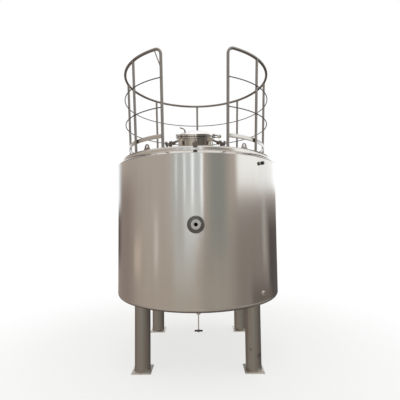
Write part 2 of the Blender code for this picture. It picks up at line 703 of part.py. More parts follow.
def build_hinge_bracket():
    """The leaf on the neck's flange, with a knuckle on each side of the lid's and the pin."""
    place = manway_frame()
    pivot = place @ Matrix.Translation((HINGE_X, 0, HINGE_W))
    lay = Matrix.Rotation(math.pi / 2, 4, "X")
    top = NECK_TOP - 2 * GAP
    leaf = block((NECK_RADIUS, -HINGE_HALF_LENGTH, top - HINGE_LEAF_THICKNESS),
                 (HINGE_X, HINGE_HALF_LENGTH, top))
    bracket = add_object("hinge_bracket", leaf, POLISHED, 0.25, matrix=place)
    sides = [(FLANGE_RADIUS + GAP, 0.0), (FLANGE_RADIUS + GAP, 2 * NECK_TOP)]
    boolean(bracket, add_cutter("hinge_seat", disc_stack(sides, MANWAY_SEGMENTS), place))
    knuckle = disc_stack([(HINGE_BARREL, -HINGE_HALF_LENGTH), (HINGE_BARREL, HINGE_HALF_LENGTH)],
                         PIPE_SEGMENTS)
    boolean(bracket, add_cutter("hinge_knuckles", knuckle, pivot @ lay), "UNION")
    inner = HINGE_ARM_HALF + HINGE_KNUCKLE_GAP
    reach = HINGE_BARREL + HINGE_SLOT_CLEARANCE
    slot = block((-reach, -inner, -reach), (2 * reach, inner, 2 * reach))
    boolean(bracket, add_cutter("hinge_slot", slot, pivot))
    pin = disc_stack([(HINGE_PIN, -HINGE_HALF_LENGTH - HINGE_PIN_PROUD),
                      (HINGE_PIN, HINGE_HALF_LENGTH + HINGE_PIN_PROUD)], PIPE_SEGMENTS)
    boolean(bracket, add_cutter("hinge_pin", pin, pivot @ lay), "UNION")


def build_lid_handle():
    """A bent rod on the left of the lid: two feet on the dome and a grip that leans out."""
    lid_top = NECK_TOP + GASKET_THICKNESS + LID_THICKNESS
    seat = lid_top + dome_height(math.hypot(HANDLE_X, HANDLE_HALF_SPAN) - HANDLE_ROD) - HANDLE_SINK
    side = [Vector((HANDLE_X, HANDLE_HALF_SPAN, seat))]
    side += [Vector((HANDLE_X + lean, HANDLE_HALF_SPAN, seat + rise)) for lean, rise in HANDLE_LEAN]
    other = [Vector((point.x, -point.y, point.z)) for point in reversed(side)]
    rod("lid_handle", rounded(side + other, HANDLE_FILLET), HANDLE_ROD, GREY, matrix=manway_frame())


def swing_bolt_mesh():
    """Return the mesh of one swing bolt along +X: eye, rod, clamping block and knob."""
    knob_face = BOLT_KNOB_RADIUS - BOLT_KNOB_INSET
    steps = [(BOLT_ROD, BOLT_SHANK_START), (BOLT_ROD, BOLT_BLOCK_START),
             (BOLT_BLOCK_RADIUS, BOLT_BLOCK_START), (BOLT_BLOCK_RADIUS, BOLT_BLOCK_END),
             (BOLT_ROD, BOLT_BLOCK_END), (BOLT_ROD, BOLT_KNOB_START), (knob_face, BOLT_KNOB_START),
             (BOLT_KNOB_RADIUS, BOLT_KNOB_START + BOLT_KNOB_BEVEL),
             (BOLT_KNOB_RADIUS, BOLT_KNOB_END - BOLT_KNOB_BEVEL), (knob_face, BOLT_KNOB_END)]
    bm = disc_stack(steps, SMALL_SEGMENTS)
    bmesh.ops.rotate(bm, cent=(0, 0, 0), matrix=Matrix.Rotation(math.pi / 2, 3, "Y"), verts=bm.verts)
    shank = add_cutter("swing_bolt_shank", bm)
    lay = Matrix.Rotation(math.pi / 2, 4, "X")
    eye = disc_stack([(BOLT_EYE_RADIUS, -BOLT_EYE_HALF_WIDTH), (BOLT_EYE_RADIUS, BOLT_EYE_HALF_WIDTH)],
                     SMALL_SEGMENTS)
    boolean(shank, add_cutter("swing_bolt_eye", eye, lay), "UNION")
    bore = BOLT_PIN_RADIUS + BOLT_PIN_CLEARANCE
    hole = disc_stack([(bore, -0.02), (bore, 0.02)], SMALL_SEGMENTS)
    boolean(shank, add_cutter("swing_bolt_bore", hole, lay))
    bpy.context.view_layer.update()
    evaluated = shank.evaluated_get(bpy.context.evaluated_depsgraph_get())
    return bpy.data.meshes.new_from_object(evaluated)


def build_swing_bolts():
    """Six swing bolts, hanging open from their ears with the knobs resting on the head."""
    mesh = swing_bolt_mesh()
    mesh.materials.clear()
    mesh.materials.append(make_material("swing_bolt", GREY, 0.3, 1.0))
    for name, azimuth in BOLT_AZIMUTHS.items():
        droop = Matrix.Rotation(math.radians(BOLT_DROOPS[name]), 4, "Y")
        made = bpy.data.objects.new(name, mesh)
        bpy.context.collection.objects.link(made)
        made.matrix_world = bolt_frame(azimuth) @ droop


def build_front_port():
    """The round sight port in the front: a ridged outer ring and a ferrule with a bore."""
    inside = BODY_INNER_RADIUS - BODY_RADIUS - PORT_INSIDE
    bore = PORT_FERRULE_RADIUS + GAP
    step = PORT_RING_STEP
    ring = [(bore, inside), (PORT_RING_RADIUS, inside), (PORT_RING_RADIUS, PORT_RING_PROUD - step),
            (PORT_RING_RADIUS - step, PORT_RING_PROUD), (bore + PORT_RIDGE, PORT_RING_PROUD + step),
            (bore, PORT_RING_PROUD + step)]
    place = facing(0.0, BODY_RADIUS, FRONT_PORT_Z)
    add_object("front_port_ring", turned(ring, PIPE_SEGMENTS), GREY, 0.4, matrix=place)
    proud, bevel = PORT_FERRULE_PROUD, EDGE_BEVEL
    ferrule = [(PORT_BORE_RADIUS, inside), (PORT_FERRULE_RADIUS, inside),
               (PORT_FERRULE_RADIUS, proud - bevel), (PORT_FERRULE_RADIUS - bevel, proud),
               (PORT_BORE_RADIUS + bevel, proud), (PORT_BORE_RADIUS, proud - bevel)]
    add_object("front_port_ferrule", turned(ferrule, PIPE_SEGMENTS), POLISHED, 0.2, matrix=place)


def build_side_ports():
    """The capped stub high on the right and the plugged boss low on the right."""
    inside = BODY_INNER_RADIUS - BODY_RADIUS - PORT_INSIDE
    upper = facing(SIDE_PORT_AZIMUTH, BODY_RADIUS, UPPER_PORT_Z)
    cap_low = UPPER_PORT_PROUD - UPPER_CAP_LENGTH
    stub = disc_stack([(UPPER_PORT_RADIUS, inside), (UPPER_PORT_RADIUS, cap_low - GAP)], SMALL_SEGMENTS)
    add_object("upper_port", stub, POLISHED, 0.25, matrix=upper)
    cap = disc_stack([(UPPER_CAP_RADIUS, cap_low), (UPPER_CAP_RADIUS, UPPER_PORT_PROUD - EDGE_BEVEL),
                      (UPPER_CAP_RADIUS - EDGE_BEVEL, UPPER_PORT_PROUD)], SMALL_SEGMENTS)
    add_object("upper_port_cap", cap, DARK, 0.5, 0.0, upper)
    lower = facing(SIDE_PORT_AZIMUTH, BODY_RADIUS, LOWER_PORT_Z)
    face = LOWER_PORT_RADIUS - LOWER_PORT_BEVEL
    plug = disc_stack([(LOWER_PORT_RADIUS, inside), (LOWER_PORT_RADIUS, LOWER_PORT_PROUD - LOWER_PORT_BEVEL),
                       (face, LOWER_PORT_PROUD)], SMALL_SEGMENTS)
    add_object("lower_port", plug, POLISHED, 0.25, matrix=lower)


def build_outlet():
    """The outlet under the body and the stem that turns in it, with its T handle."""
    bore = STEM_RADIUS + STEM_CLEARANCE
    top = bottom_height(OUTLET_RADIUS) + SKIN + 0.004
    section = [(bore, OUTLET_BOTTOM_Z), (OUTLET_RADIUS - 0.003, OUTLET_BOTTOM_Z),
               (OUTLET_RADIUS, OUTLET_BOTTOM_Z + 0.003), (OUTLET_RADIUS, top), (bore, top)]
    add_object("outlet_boss", turned(section, PIPE_SEGMENTS), POLISHED, 0.25)
    seat = top + GAP
    stem = disc_stack([(STEM_RADIUS, STEM_BOTTOM_Z), (STEM_RADIUS, seat), (PLUG_RADIUS, seat),
                       (PLUG_RADIUS, seat + PLUG_THICKNESS)], PIPE_SEGMENTS)
    add_object("outlet_stem", stem, POLISHED, 0.3)
    half = T_HALF_LENGTH
    bar = disc_stack([(T_RADIUS - 0.003, -half), (T_RADIUS, -half + 0.003), (T_RADIUS, half - 0.003),
                      (T_RADIUS - 0.003, half)], SMALL_SEGMENTS)
    lay = Matrix.Translation((0, 0, T_CENTRE_Z)) @ Matrix.Rotation(math.pi / 2, 4, "Y")
    handle = add_object("outlet_handle", bar, DARK, 0.5, 0.0, lay)
    socket = disc_stack([(STEM_RADIUS + GAP, STEM_BOTTOM_Z - GAP), (STEM_RADIUS + GAP, 0.3)], PIPE_SEGMENTS)
    boolean(handle, add_cutter("outlet_socket", socket))


def main():
    """Build every piece of the tank."""
    clear_scene()
    build_body()
    build_bottom()
    build_top()
    build_legs()
    build_handrail()
    build_posts()
    build_mid_rails()
    build_toe_board()
    build_corner_brace()
    build_lugs()
    build_neck()
    build_gasket()
    build_lid()
    build_lid_handle()
    build_hinge_bracket()
    build_swing_bolts()
    build_front_port()
    build_side_ports()
    build_outlet()


main()
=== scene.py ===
"""Looks of a vertical stainless storage tank: its surfaces, finishes, studio and camera.

Metres, +Z up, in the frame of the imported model. The origin is on the ground midway between the
four feet, and the front, where the guard rail is open, faces -Y. An azimuth is counted in
degrees from the front towards +X.
"""
import logging
import math
from dataclasses import dataclass, field
from enum import Enum
from typing import Callable, Sequence

import bmesh
import bpy
import numpy as np
from mathutils import Matrix, Vector


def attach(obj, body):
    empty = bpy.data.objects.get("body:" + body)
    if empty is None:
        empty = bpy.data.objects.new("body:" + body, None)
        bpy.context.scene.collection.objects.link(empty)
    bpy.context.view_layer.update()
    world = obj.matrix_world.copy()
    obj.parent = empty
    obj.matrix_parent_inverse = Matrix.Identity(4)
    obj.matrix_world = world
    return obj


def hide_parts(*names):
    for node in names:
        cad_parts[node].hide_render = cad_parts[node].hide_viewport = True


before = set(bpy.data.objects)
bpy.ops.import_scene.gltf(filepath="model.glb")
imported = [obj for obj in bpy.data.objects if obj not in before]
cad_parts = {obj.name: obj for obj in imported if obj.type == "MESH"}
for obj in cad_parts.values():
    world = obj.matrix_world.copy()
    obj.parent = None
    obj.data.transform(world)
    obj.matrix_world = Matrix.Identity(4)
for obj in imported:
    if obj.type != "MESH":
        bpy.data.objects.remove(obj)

log = logging.getLogger("tank")

Array = np.ndarray
Colour = tuple[float, float, float]
Point = tuple[float, float]
Lift = Callable[[Array], Array]

TANK = "tank"
OUTER, INNER = 0.992, 0.922
GAP = 0.0003
UP = np.array((0.0, 0.0, 1.0))
WELD_STEP = 1e-6
SMOOTH_ANGLE = math.radians(32)


# Arrays of points

def stacked(*parts: Array | float) -> Array:
    """Return points from coordinates that broadcast together, along a new last axis."""
    return np.stack(np.broadcast_arrays(*parts), axis=-1)


def azimuth_points(radius: Array | float, azimuth: Array | float, height: Array | float) -> Array:
    """Return points round the tank's axis: x = r sin a, y = -r cos a, with a in degrees."""
    angle = np.radians(azimuth)
    return stacked(radius * np.sin(angle), -radius * np.cos(angle), height)


def wall_axes(azimuth: float) -> tuple[Array, Array]:
    """Return the level unit directions at an azimuth, outwards and sideways."""
    out = azimuth_points(1.0, azimuth, 0.0)
    return out, np.cross(UP, out)


def turns(sides: int) -> Array:
    """Return the angles of a whole turn in equal steps, with both of its ends."""
    return np.linspace(0, math.tau, sides + 1)


def spokes(angle: Array, radius: float = 1.0) -> Array:
    """Return the points radius (cos a, sin a)."""
    return radius * stacked(np.cos(angle), np.sin(angle))


def level_spokes(angle: Array) -> Array:
    """Return the level directions (cos a, sin a, 0)."""
    return stacked(np.cos(angle), np.sin(angle), 0.0)


def about_x(along: Array, radius: Array, turn: Array) -> Array:
    """Return the points (along, radius cos a, radius sin a), turned about X."""
    return stacked(along, radius * np.cos(turn), radius * np.sin(turn))


def rounded(corners: Sequence[Sequence[float]], radii: Sequence[float], steps: int = 5) -> Array:
    """Return a polyline whose inner corners are turned on circular arcs.

    Each arc is a rational curve from side to side, (A(1-t)^2 + 2wPt(1-t) + Bt^2) over its
    weights, where P is the corner and w the sine of half its angle, which makes it a circle's.

    Args:
        corners: the points, in two or three dimensions.
        radii: one radius for each inner corner; nought keeps it sharp.
        steps: the pieces of each arc.

    Returns:
        The points of the polyline.
    """
    points = np.asarray(corners, float)
    before, corner, after = points[:-2], points[1:-1], points[2:]
    to_before = (before - corner) / np.linalg.norm(before - corner, axis=1, keepdims=True)
    to_after = (after - corner) / np.linalg.norm(after - corner, axis=1, keepdims=True)
    cosine = np.clip((to_before * to_after).sum(axis=1), -1, 1)
    half = np.arccos(cosine)[:, None] / 2
    setback = np.asarray(radii, float)[:, None] / np.tan(half)
    start, end = corner + to_before * setback, corner + to_after * setback
    share = np.linspace(0, 1, steps + 1)[None, :, None]
    weight = np.sin(half)[:, :, None]
    first, middle, last = (1 - share) ** 2, 2 * weight * share * (1 - share), share ** 2
    arcs = first * start[:, None] + middle * corner[:, None] + last * end[:, None]
    arcs = (arcs / (first + middle + last)).reshape(-1, points.shape[1])
    whole = np.concatenate((points[:1], arcs, points[-1:]))
    kept = np.linalg.norm(np.diff(whole, axis=0), axis=1) > WELD_STEP
    return whole[np.concatenate(([True], kept))]


def refined(line: Array, step: float) -> Array:
    """Return a polyline with its long stretches cut into pieces no longer than a step."""
    lengths = np.linalg.norm(np.diff(line, axis=0), axis=1)
    counts = np.maximum(1, np.ceil(lengths / step)).astype(int)
    index = np.repeat(np.arange(len(counts)), counts)
    offset = np.arange(counts.sum()) - np.repeat(np.cumsum(counts) - counts, counts)
    share = (offset / counts[index])[:, None]
    return np.concatenate((line[index] * (1 - share) + line[index + 1] * share, line[-1:]))


def bar_profile(low: float, high: float, radius: float, radii: Sequence[float],
                steps: int = 5) -> Array:
    """Return the (length, radius) profile of a round bar with rounded ends."""
    return rounded([(low, 0.0), (low, radius), (high, radius), (high, 0.0)], radii, steps)


def ring_section(inner: float, outer: float, low: float, high: float, radii: Sequence[float],
                 steps: int) -> Array:
    """Return the closed section of a ring: a rectangle with rounded corners."""
    middle = (inner + outer) / 2
    return rounded([(middle, low), (outer, low), (outer, high), (inner, high), (inner, low),
                    (middle, low)], radii, steps)


def turned(profile: Array, azimuths: Array) -> Array:
    """Return the patch of a (radius, height) profile turned about Z, a row for each point."""
    return azimuth_points(profile[:, :1], azimuths, profile[:, 1:])


def lathe(profile: Array, sides: int, start: float = 0.0) -> Array:
    """Return a profile turned a whole turn about Z, from an azimuth."""
    return turned(profile, np.linspace(start, start + 360, sides + 1))


def round_pin(radius: float, reach: float, edge: float, sides: int) -> Array:
    """Return a pin along Z that reaches equally far each way and has rounded ends."""
    return lathe(bar_profile(-reach, reach, radius, [edge, edge], 3)[:, ::-1], sides)


def carried(path: Array, section: Array, reference: Array) -> Array:
    """Return the patch of a section carried along a path.

    At each point of the path the section's first axis is the reference direction made square
    to the path, and its second is the path's direction crossed with that.

    Args:
        path: the centre line, one point a row.
        section: closed (first, second) points, or one such set for each point of the path.
        reference: one direction, or one for each point of the path.

    Returns:
        The points, rows along the path and columns round the section.
    """
    along = np.gradient(path, axis=0)
    along /= np.linalg.norm(along, axis=1, keepdims=True)
    across = np.broadcast_to(reference, path.shape)
    across = across - along * (across * along).sum(axis=1, keepdims=True)
    across = across / np.linalg.norm(across, axis=1, keepdims=True)
    other = np.cross(along, across)
    section = np.broadcast_to(section, (len(path), *section.shape[-2:]))
    return path[:, None] + section[..., :1] * across[:, None] + section[..., 1:] * other[:, None]


def closed_ends(patch: Array) -> list[Array]:
    """Return a patch with a flat fan over its first row and another over its last."""
    return [patch, *(np.stack((row, np.broadcast_to(row[:-1].mean(axis=0), row.shape)))
                     for row in (patch[0], patch[-1]))]


def rod(path: Array, radius: float, sides: int, reference: Array) -> list[Array]:
    """Return the patches of a round rod along a path, with flat ends."""
    return closed_ends(carried(path, spokes(turns(sides), radius), reference))


def bead(path: Array, size: float, reference: Array, closed: bool = True,
         pitch: float = 0.004) -> list[Array]:
    """Return the patches of a weld bead: a rod whose radius swells a little at each ripple.

    The radius is size x (1 + 0.09 cos(tau s / pitch)) at a length s along the path.
    """
    if closed:
        path = np.concatenate((path[-2:-1], path, path[1:2]))
        if reference.ndim > 1:
            reference = np.concatenate((reference[-2:-1], reference, reference[1:2]))
    lengths = np.linalg.norm(np.diff(path, axis=0), axis=1)
    run = np.concatenate(([0.0], np.cumsum(lengths)))
    whole = run[-2] - run[1] if closed else run[-1]
    ripples = max(1, round(whole / pitch))
    swell = 1 + 0.09 * np.cos(math.tau * ripples * (run - run[1] * closed) / whole)
    patch = carried(path, spokes(turns(8), size)[None] * swell[:, None, None], reference)
    if closed:
        patch = patch[1:-1]
        patch[-1] = patch[0]
        return [patch]
    return closed_ends(patch)


def ring_bead(radius: float, height: float, size: float, steps: int, pitch: float) -> list[Array]:
    """Return the patches of a bead that runs level round the tank's axis."""
    azimuths = np.linspace(0, 360, steps + 1)
    path, out = azimuth_points(radius, azimuths, height), azimuth_points(1.0, azimuths, 0.0)
    return bead(path, size, out, pitch=pitch)


def outward(outline: Array) -> Array:
    """Return the unit normals of a closed outline, pointing away from its inside."""
    ring = outline[:-1]
    along = np.roll(ring, -1, axis=0) - np.roll(ring, 1, axis=0)
    along /= np.linalg.norm(along, axis=1, keepdims=True)
    x, y = ring.T
    area = (x * np.roll(y, -1) - np.roll(x, -1) * y).sum()
    normal = stacked(along[:, 1], -along[:, 0]) * np.sign(area)
    return np.concatenate((normal, normal[:1]))


def plate_rows(outline: Array, half: float, edge: float, centre: Array, steps: int = 3) -> Array:
    """Return a plate's rows from the middle of one side over its rim to the other's.

    The rim is a straight band between two quarter rounds: at a turn t the outline is drawn in
    by edge (1 - sin t), and the height is half - edge (1 - cos t).

    Args:
        outline: closed (x, y) points, seen whole from the centre.
        half: half of the thickness.
        edge: the radius of the rounded edges.
        centre: the (x, y) point or the closed inner line that each side starts from.
        steps: the pieces of each rounded edge.

    Returns:
        The (x, y, z) points, a row for each step over the rim.
    """
    turn = np.linspace(0, math.pi / 2, steps + 1)
    inset, height = edge * (1 - np.sin(turn)), half - edge * (1 - np.cos(turn))
    inset = np.concatenate((inset, inset[::-1]))[:, None, None]
    middle = np.broadcast_to(centre, outline.shape)[None]
    plan = np.concatenate((middle, outline - inset * outward(outline), middle))
    heights = np.concatenate(([half], height, -height[::-1], [-half]))
    return stacked(plan[..., 0], plan[..., 1], heights[:, None])


@dataclass(frozen=True)
class Place:
    """A frame in space: an origin and three axes as the columns of a matrix."""

    origin: Array
    axes: Array

    def __call__(self, points: Array) -> Array:
        """Return local points in the tank's frame: origin + axes times point."""
        return points @ self.axes.T + self.origin

    def at(self, origin: Array, axes: Array) -> "Place":
        """Return the frame that stands at a local origin with local axes."""
        return Place(self(origin), self.axes @ axes)

    @staticmethod
    def facing(radius: float, azimuth: float, height: float) -> "Place":
        """Return a frame on the tank's wall: X sideways, Y up, Z out of the wall."""
        out, side = wall_axes(azimuth)
        return Place(out * radius + UP * height, stacked(side, np.cross(out, side), out))


# Sheets with round windows

@dataclass(frozen=True)
class Window:
    """A hole in a sheet: the cells that its surround takes over, and its edge in the plan."""

    rows: tuple[int, int]
    columns: tuple[int, int]
    centre: Point
    edge: Callable[[Array], Array]


@dataclass
class Sheet:
    """A grid of plan points with windows, lifted into space at one or more depths."""

    plan: Array
    windows: list[Window]
    rings: int = 7

    def loop(self, rows: tuple[int, int], columns: tuple[int, int]) -> Array:
        """Return the closed loop of grid points round a block of cells."""
        (top, bottom), (left, right) = rows, columns
        down, along = np.arange(top, bottom), np.arange(left, right)
        row_index = np.concatenate((np.full(len(along), top), down,
                                    np.full(len(along), bottom), down[::-1] + 1, [top]))
        column_index = np.concatenate((along, np.full(len(down), right), along[::-1] + 1,
                                       np.full(len(down), left), [left]))
        return self.plan[row_index, column_index]

    def edge(self, window: Window) -> Array:
        """Return a window's edge, point for point with the loop round its cells."""
        x, y = (self.loop(window.rows, window.columns) - np.asarray(window.centre)).T
        return window.edge(np.arctan2(y, x))

    def patches(self, lift: Lift) -> list["Array | Patch"]:
        """Return the lifted grid without its windows' cells, and each window's surround.

        A surround runs from edge to loop as edge (1 - s) + loop s, with s eased so that its
        rings are closer near the edge.
        """
        keep = np.ones((self.plan.shape[0] - 1, self.plan.shape[1] - 1), bool)
        share = np.linspace(0, 1, self.rings + 1)[:, None, None] ** 1.4
        made = []
        for window in self.windows:
            keep[slice(*window.rows), slice(*window.columns)] = False
            loop = self.loop(window.rows, window.columns)
            made.append(lift(self.edge(window) * (1 - share) + loop * share))
        return [Patch(lift(self.plan), keep), *made]

    def sleeves(self, lifts: Sequence[Lift]) -> list[Array]:
        """Return the wall of each window, from its edge at one depth to that at another."""
        return [np.stack([lift(self.edge(window)) for lift in lifts]) for window in self.windows]


def window_cells(values: Array, centre: float, reach: float) -> tuple[int, int]:
    """Return the first and last grid line of a window that reaches a distance each way."""
    return (int(np.searchsorted(values, centre - reach)) - 1,
            int(np.searchsorted(values, centre + reach)))


def round_edge(centre: Point, radius: float) -> Callable[[Array], Array]:
    """Return the edge of a circular window as a function of the angle about its centre."""
    return lambda angle: np.asarray(centre) + spokes(angle, radius)


def pierced(columns: Array, rows: Array, holes: Sequence[tuple[float, float, float, float]],
            rings: int = 7) -> Sheet:
    """Return a sheet on the given grid lines with round holes.

    Args:
        columns: the x of each grid line.
        rows: the y of each grid line.
        holes: the x, y, radius and reach of each hole's window.
        rings: the cells between a hole's edge and the grid.

    Returns:
        The sheet.
    """
    windows = [Window(window_cells(rows, y, reach), window_cells(columns, x, reach), (x, y),
                      round_edge((x, y), radius)) for x, y, radius, reach in holes]
    return Sheet(np.stack(np.meshgrid(columns, rows), axis=-1), windows, rings)


# Meshes and pieces

@dataclass
class Patch:
    """A grid of points in space, and which of its cells are faces."""

    points: Array
    keep: Array | None = None

    def cells(self) -> Array:
        """Return the four corners of each kept cell, as indices into the flat points."""
        rows, columns = self.points.shape[:2]
        index = np.arange(rows * columns).reshape(rows, columns)
        corners = stacked(index[:-1, :-1], index[:-1, 1:], index[1:, 1:], index[1:, :-1])
        return corners.reshape(-1, 4) if self.keep is None else corners[self.keep]


@dataclass
class Piece:
    """One visible object, gathered from closed bodies that are each a set of patches."""

    name: str
    bodies: list[list[Patch]] = field(default_factory=list)

    def add(self, patches: Sequence[Array | Patch]) -> "Piece":
        """Add one closed body, given as arrays of points or as patches."""
        self.bodies.append([item if isinstance(item, Patch) else Patch(item) for item in patches])
        return self

    def mesh(self) -> bpy.types.Mesh:
        """Return the mesh, each body welded along its seams and poles by itself."""
        points, corners, sizes, offset = [], [], [], 0
        for body in self.bodies:
            flat = np.concatenate([patch.points.reshape(-1, 3) for patch in body])
            starts = np.cumsum([0] + [patch.points[..., 0].size for patch in body])
            cells = np.concatenate([patch.cells() + start for patch, start in zip(body, starts)])
            keys = np.round(flat / WELD_STEP).astype(np.int64)
            _, first, same = np.unique(keys, axis=0, return_index=True, return_inverse=True)
            cells = same.reshape(-1)[cells]
            distinct = cells != np.roll(cells, 1, axis=1)
            count = distinct.sum(axis=1)
            whole = count >= 3
            points.append(flat[first])
            corners.append(cells[whole][distinct[whole]] + offset)
            sizes.append(count[whole])
            offset += len(first)
        return self.as_mesh(*(np.concatenate(part) for part in (points, corners, sizes)))

    def as_mesh(self, points: Array, corners: Array, sizes: Array) -> bpy.types.Mesh:
        """Return a mesh of points and faces, turned outwards and shaded smooth."""
        made = bpy.data.meshes.new(self.name)
        made.vertices.add(len(points))
        made.vertices.foreach_set("co", points.astype(np.float32).ravel())
        made.loops.add(len(corners))
        made.loops.foreach_set("vertex_index", corners.astype(np.int32))
        made.polygons.add(len(sizes))
        starts = np.concatenate(([0], np.cumsum(sizes)[:-1]))
        made.polygons.foreach_set("loop_start", starts.astype(np.int32))
        made.update(calc_edges=True)
        turner = bmesh.new()
        turner.from_mesh(made)
        bmesh.ops.recalc_face_normals(turner, faces=turner.faces)
        turner.to_mesh(made)
        turner.free()
        made.shade_smooth()
        made.set_sharp_from_angle(angle=SMOOTH_ANGLE)
        return made

    def place(self, finish: bpy.types.Material, body: str, *nodes: str, slot: str = "") -> None:
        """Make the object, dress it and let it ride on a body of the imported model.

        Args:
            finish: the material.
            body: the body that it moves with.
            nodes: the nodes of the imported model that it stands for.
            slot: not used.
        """
        made = bpy.data.objects.new(self.name, self.mesh())
        made.data.materials.append(finish)
        bpy.context.scene.collection.objects.link(made)
        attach(made, body)
        slot or nodes[0]
        if nodes:
            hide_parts(*nodes)
        log.info("%s: %d faces on %s", self.name, len(made.data.polygons), body)


# Shader maths

def arithmetic(operation: str, reflected: bool = False) -> Callable:
    """Return a method that adds a Math node for an operator, its values in reading order."""
    def method(self: "Signal", other: "Signal | float") -> "Signal":
        """Return the result of the operator."""
        return self.maths(operation, *((other, self) if reflected else (self, other)))
    return method


class Signal:
    """A node's output that is used as a number in ordinary arithmetic."""

    __add__, __radd__ = arithmetic("ADD"), arithmetic("ADD", True)
    __sub__, __rsub__ = arithmetic("SUBTRACT"), arithmetic("SUBTRACT", True)
    __mul__, __rmul__ = arithmetic("MULTIPLY"), arithmetic("MULTIPLY", True)
    __truediv__, __rtruediv__ = arithmetic("DIVIDE"), arithmetic("DIVIDE", True)

    def __init__(self, graph: "Graph", socket: bpy.types.NodeSocket) -> None:
        """Keep the socket and the graph that it belongs to."""
        self.graph = graph
        self.socket = socket

    def maths(self, operation: str, *values: "Signal | float", clamp: bool = False) -> "Signal":
        """Return the result of a Math node on the given values."""
        settings = {"operation": operation, "use_clamp": clamp}
        return self.graph.node("ShaderNodeMath", settings, dict(enumerate(values)))

    def clamped(self) -> "Signal":
        """Return self held between nought and one."""
        return self.maths("ADD", self, 0.0, clamp=True)

    def between(self, low: float, high: float) -> "Signal":
        """Return a smooth rise from nought at low to one at high; high may be the lower."""
        return self.graph.node("ShaderNodeMapRange", {"interpolation_type": "SMOOTHSTEP"},
                               {"Value": self, "From Min": low, "From Max": high})


class Graph:
    """A material's or a world's node tree, filled through one method."""

    def __init__(self, owner: bpy.types.ID) -> None:
        """Clear the owner's node tree and keep it."""
        owner.use_nodes = True
        self.tree = owner.node_tree
        self.tree.nodes.clear()

    def node(self, kind: str, settings: dict | None = None, inputs: dict | None = None,
             output: str | int = 0) -> Signal:
        """Add a node, set it first and then its sockets, and return one of its outputs.

        Args:
            kind: the node's type.
            settings: its properties; "stops" holds a ramp's (position, colour) pairs.
            inputs: values or signals by socket name or number.
            output: the name or number of the output wanted.

        Returns:
            The output.
        """
        made = self.tree.nodes.new(kind)
        for key, value in (settings or {}).items():
            if key == "stops":
                self.set_stops(made.color_ramp, value)
            else:
                setattr(made, key, value)
        for key, value in (inputs or {}).items():
            socket = made.inputs[key]
            if isinstance(value, Signal):
                self.tree.links.new(value.socket, socket)
            elif isinstance(value, tuple) and len(value) == 3 and socket.type == "RGBA":
                socket.default_value = (*value, 1.0)
            else:
                socket.default_value = value
        return Signal(self, made.outputs[output] if made.outputs else None)

    @staticmethod
    def set_stops(ramp: bpy.types.ColorRamp, stops: Sequence[tuple[float, Colour]]) -> None:
        """Give a colour ramp its stops."""
        while len(ramp.elements) < len(stops):
            ramp.elements.new(1.0)
        for element, (position, colour) in zip(ramp.elements, stops):
            element.position = position
            element.color = (*colour, 1.0)

    def mixed(self, share: Signal | float, first: Signal | Colour, second: Signal | Colour) -> Signal:
        """Return the first colour where share is nought and the second where it is one."""
        return self.node("ShaderNodeMix", {"data_type": "RGBA"}, {0: share, 6: first, 7: second}, 2)

    def scaled(self, colour: Signal | Colour, by: Signal | float) -> Signal:
        """Return a colour times a number, by Vector Math."""
        return self.node("ShaderNodeVectorMath", {"operation": "SCALE"}, {0: colour, "Scale": by})

    def vector(self, operation: str, output: str | int, *values: Signal | Colour) -> Signal:
        """Return an output of a Vector Math node on the given values."""
        return self.node("ShaderNodeVectorMath", {"operation": operation},
                         dict(enumerate(values)), output)

    def noise(self, at: Signal, scale: Colour | float, detail: float = 2.0,
              rough: float = 0.5) -> Signal:
        """Return a noise from nought to one, at points scaled by one size or one for each axis."""
        scale = scale if isinstance(scale, tuple) else (scale,) * 3
        place = self.node("ShaderNodeMapping", None, {"Vector": at, "Scale": scale})
        return self.node("ShaderNodeTexNoise", None,
                         {"Vector": place, "Scale": 1.0, "Detail": detail, "Roughness": rough})

    def end(self, inputs: dict, height: Signal, strength: float, distance: float) -> None:
        """Add the material's shader with a bump from a height, and its output."""
        bump = self.node("ShaderNodeBump", None,
                         {"Height": height, "Strength": strength, "Distance": distance}, "Normal")
        shader = self.node("ShaderNodeBsdfPrincipled", None, {**inputs, "Normal": bump})
        self.node("ShaderNodeOutputMaterial", None, {"Surface": shader})


# Finishes

class Grain(Enum):
    """The way that a steel surface was brushed, as the scale of its lines along each axis."""

    AROUND = (2.0, 2.0, 420.0)
    UPRIGHT = (260.0, 260.0, 3.0)
    EVEN = (150.0, 150.0, 150.0)


@dataclass(frozen=True)
class Finish:
    """A finish, made into a material that is worked out from Object coordinates."""

    name: str
    colour: Colour
    roughness: float

    def material(self) -> bpy.types.Material:
        """Return the material."""
        made = bpy.data.materials.new(self.name)
        graph = Graph(made)
        self.fill(graph, graph.node("ShaderNodeTexCoord", None, None, "Object"))
        return made


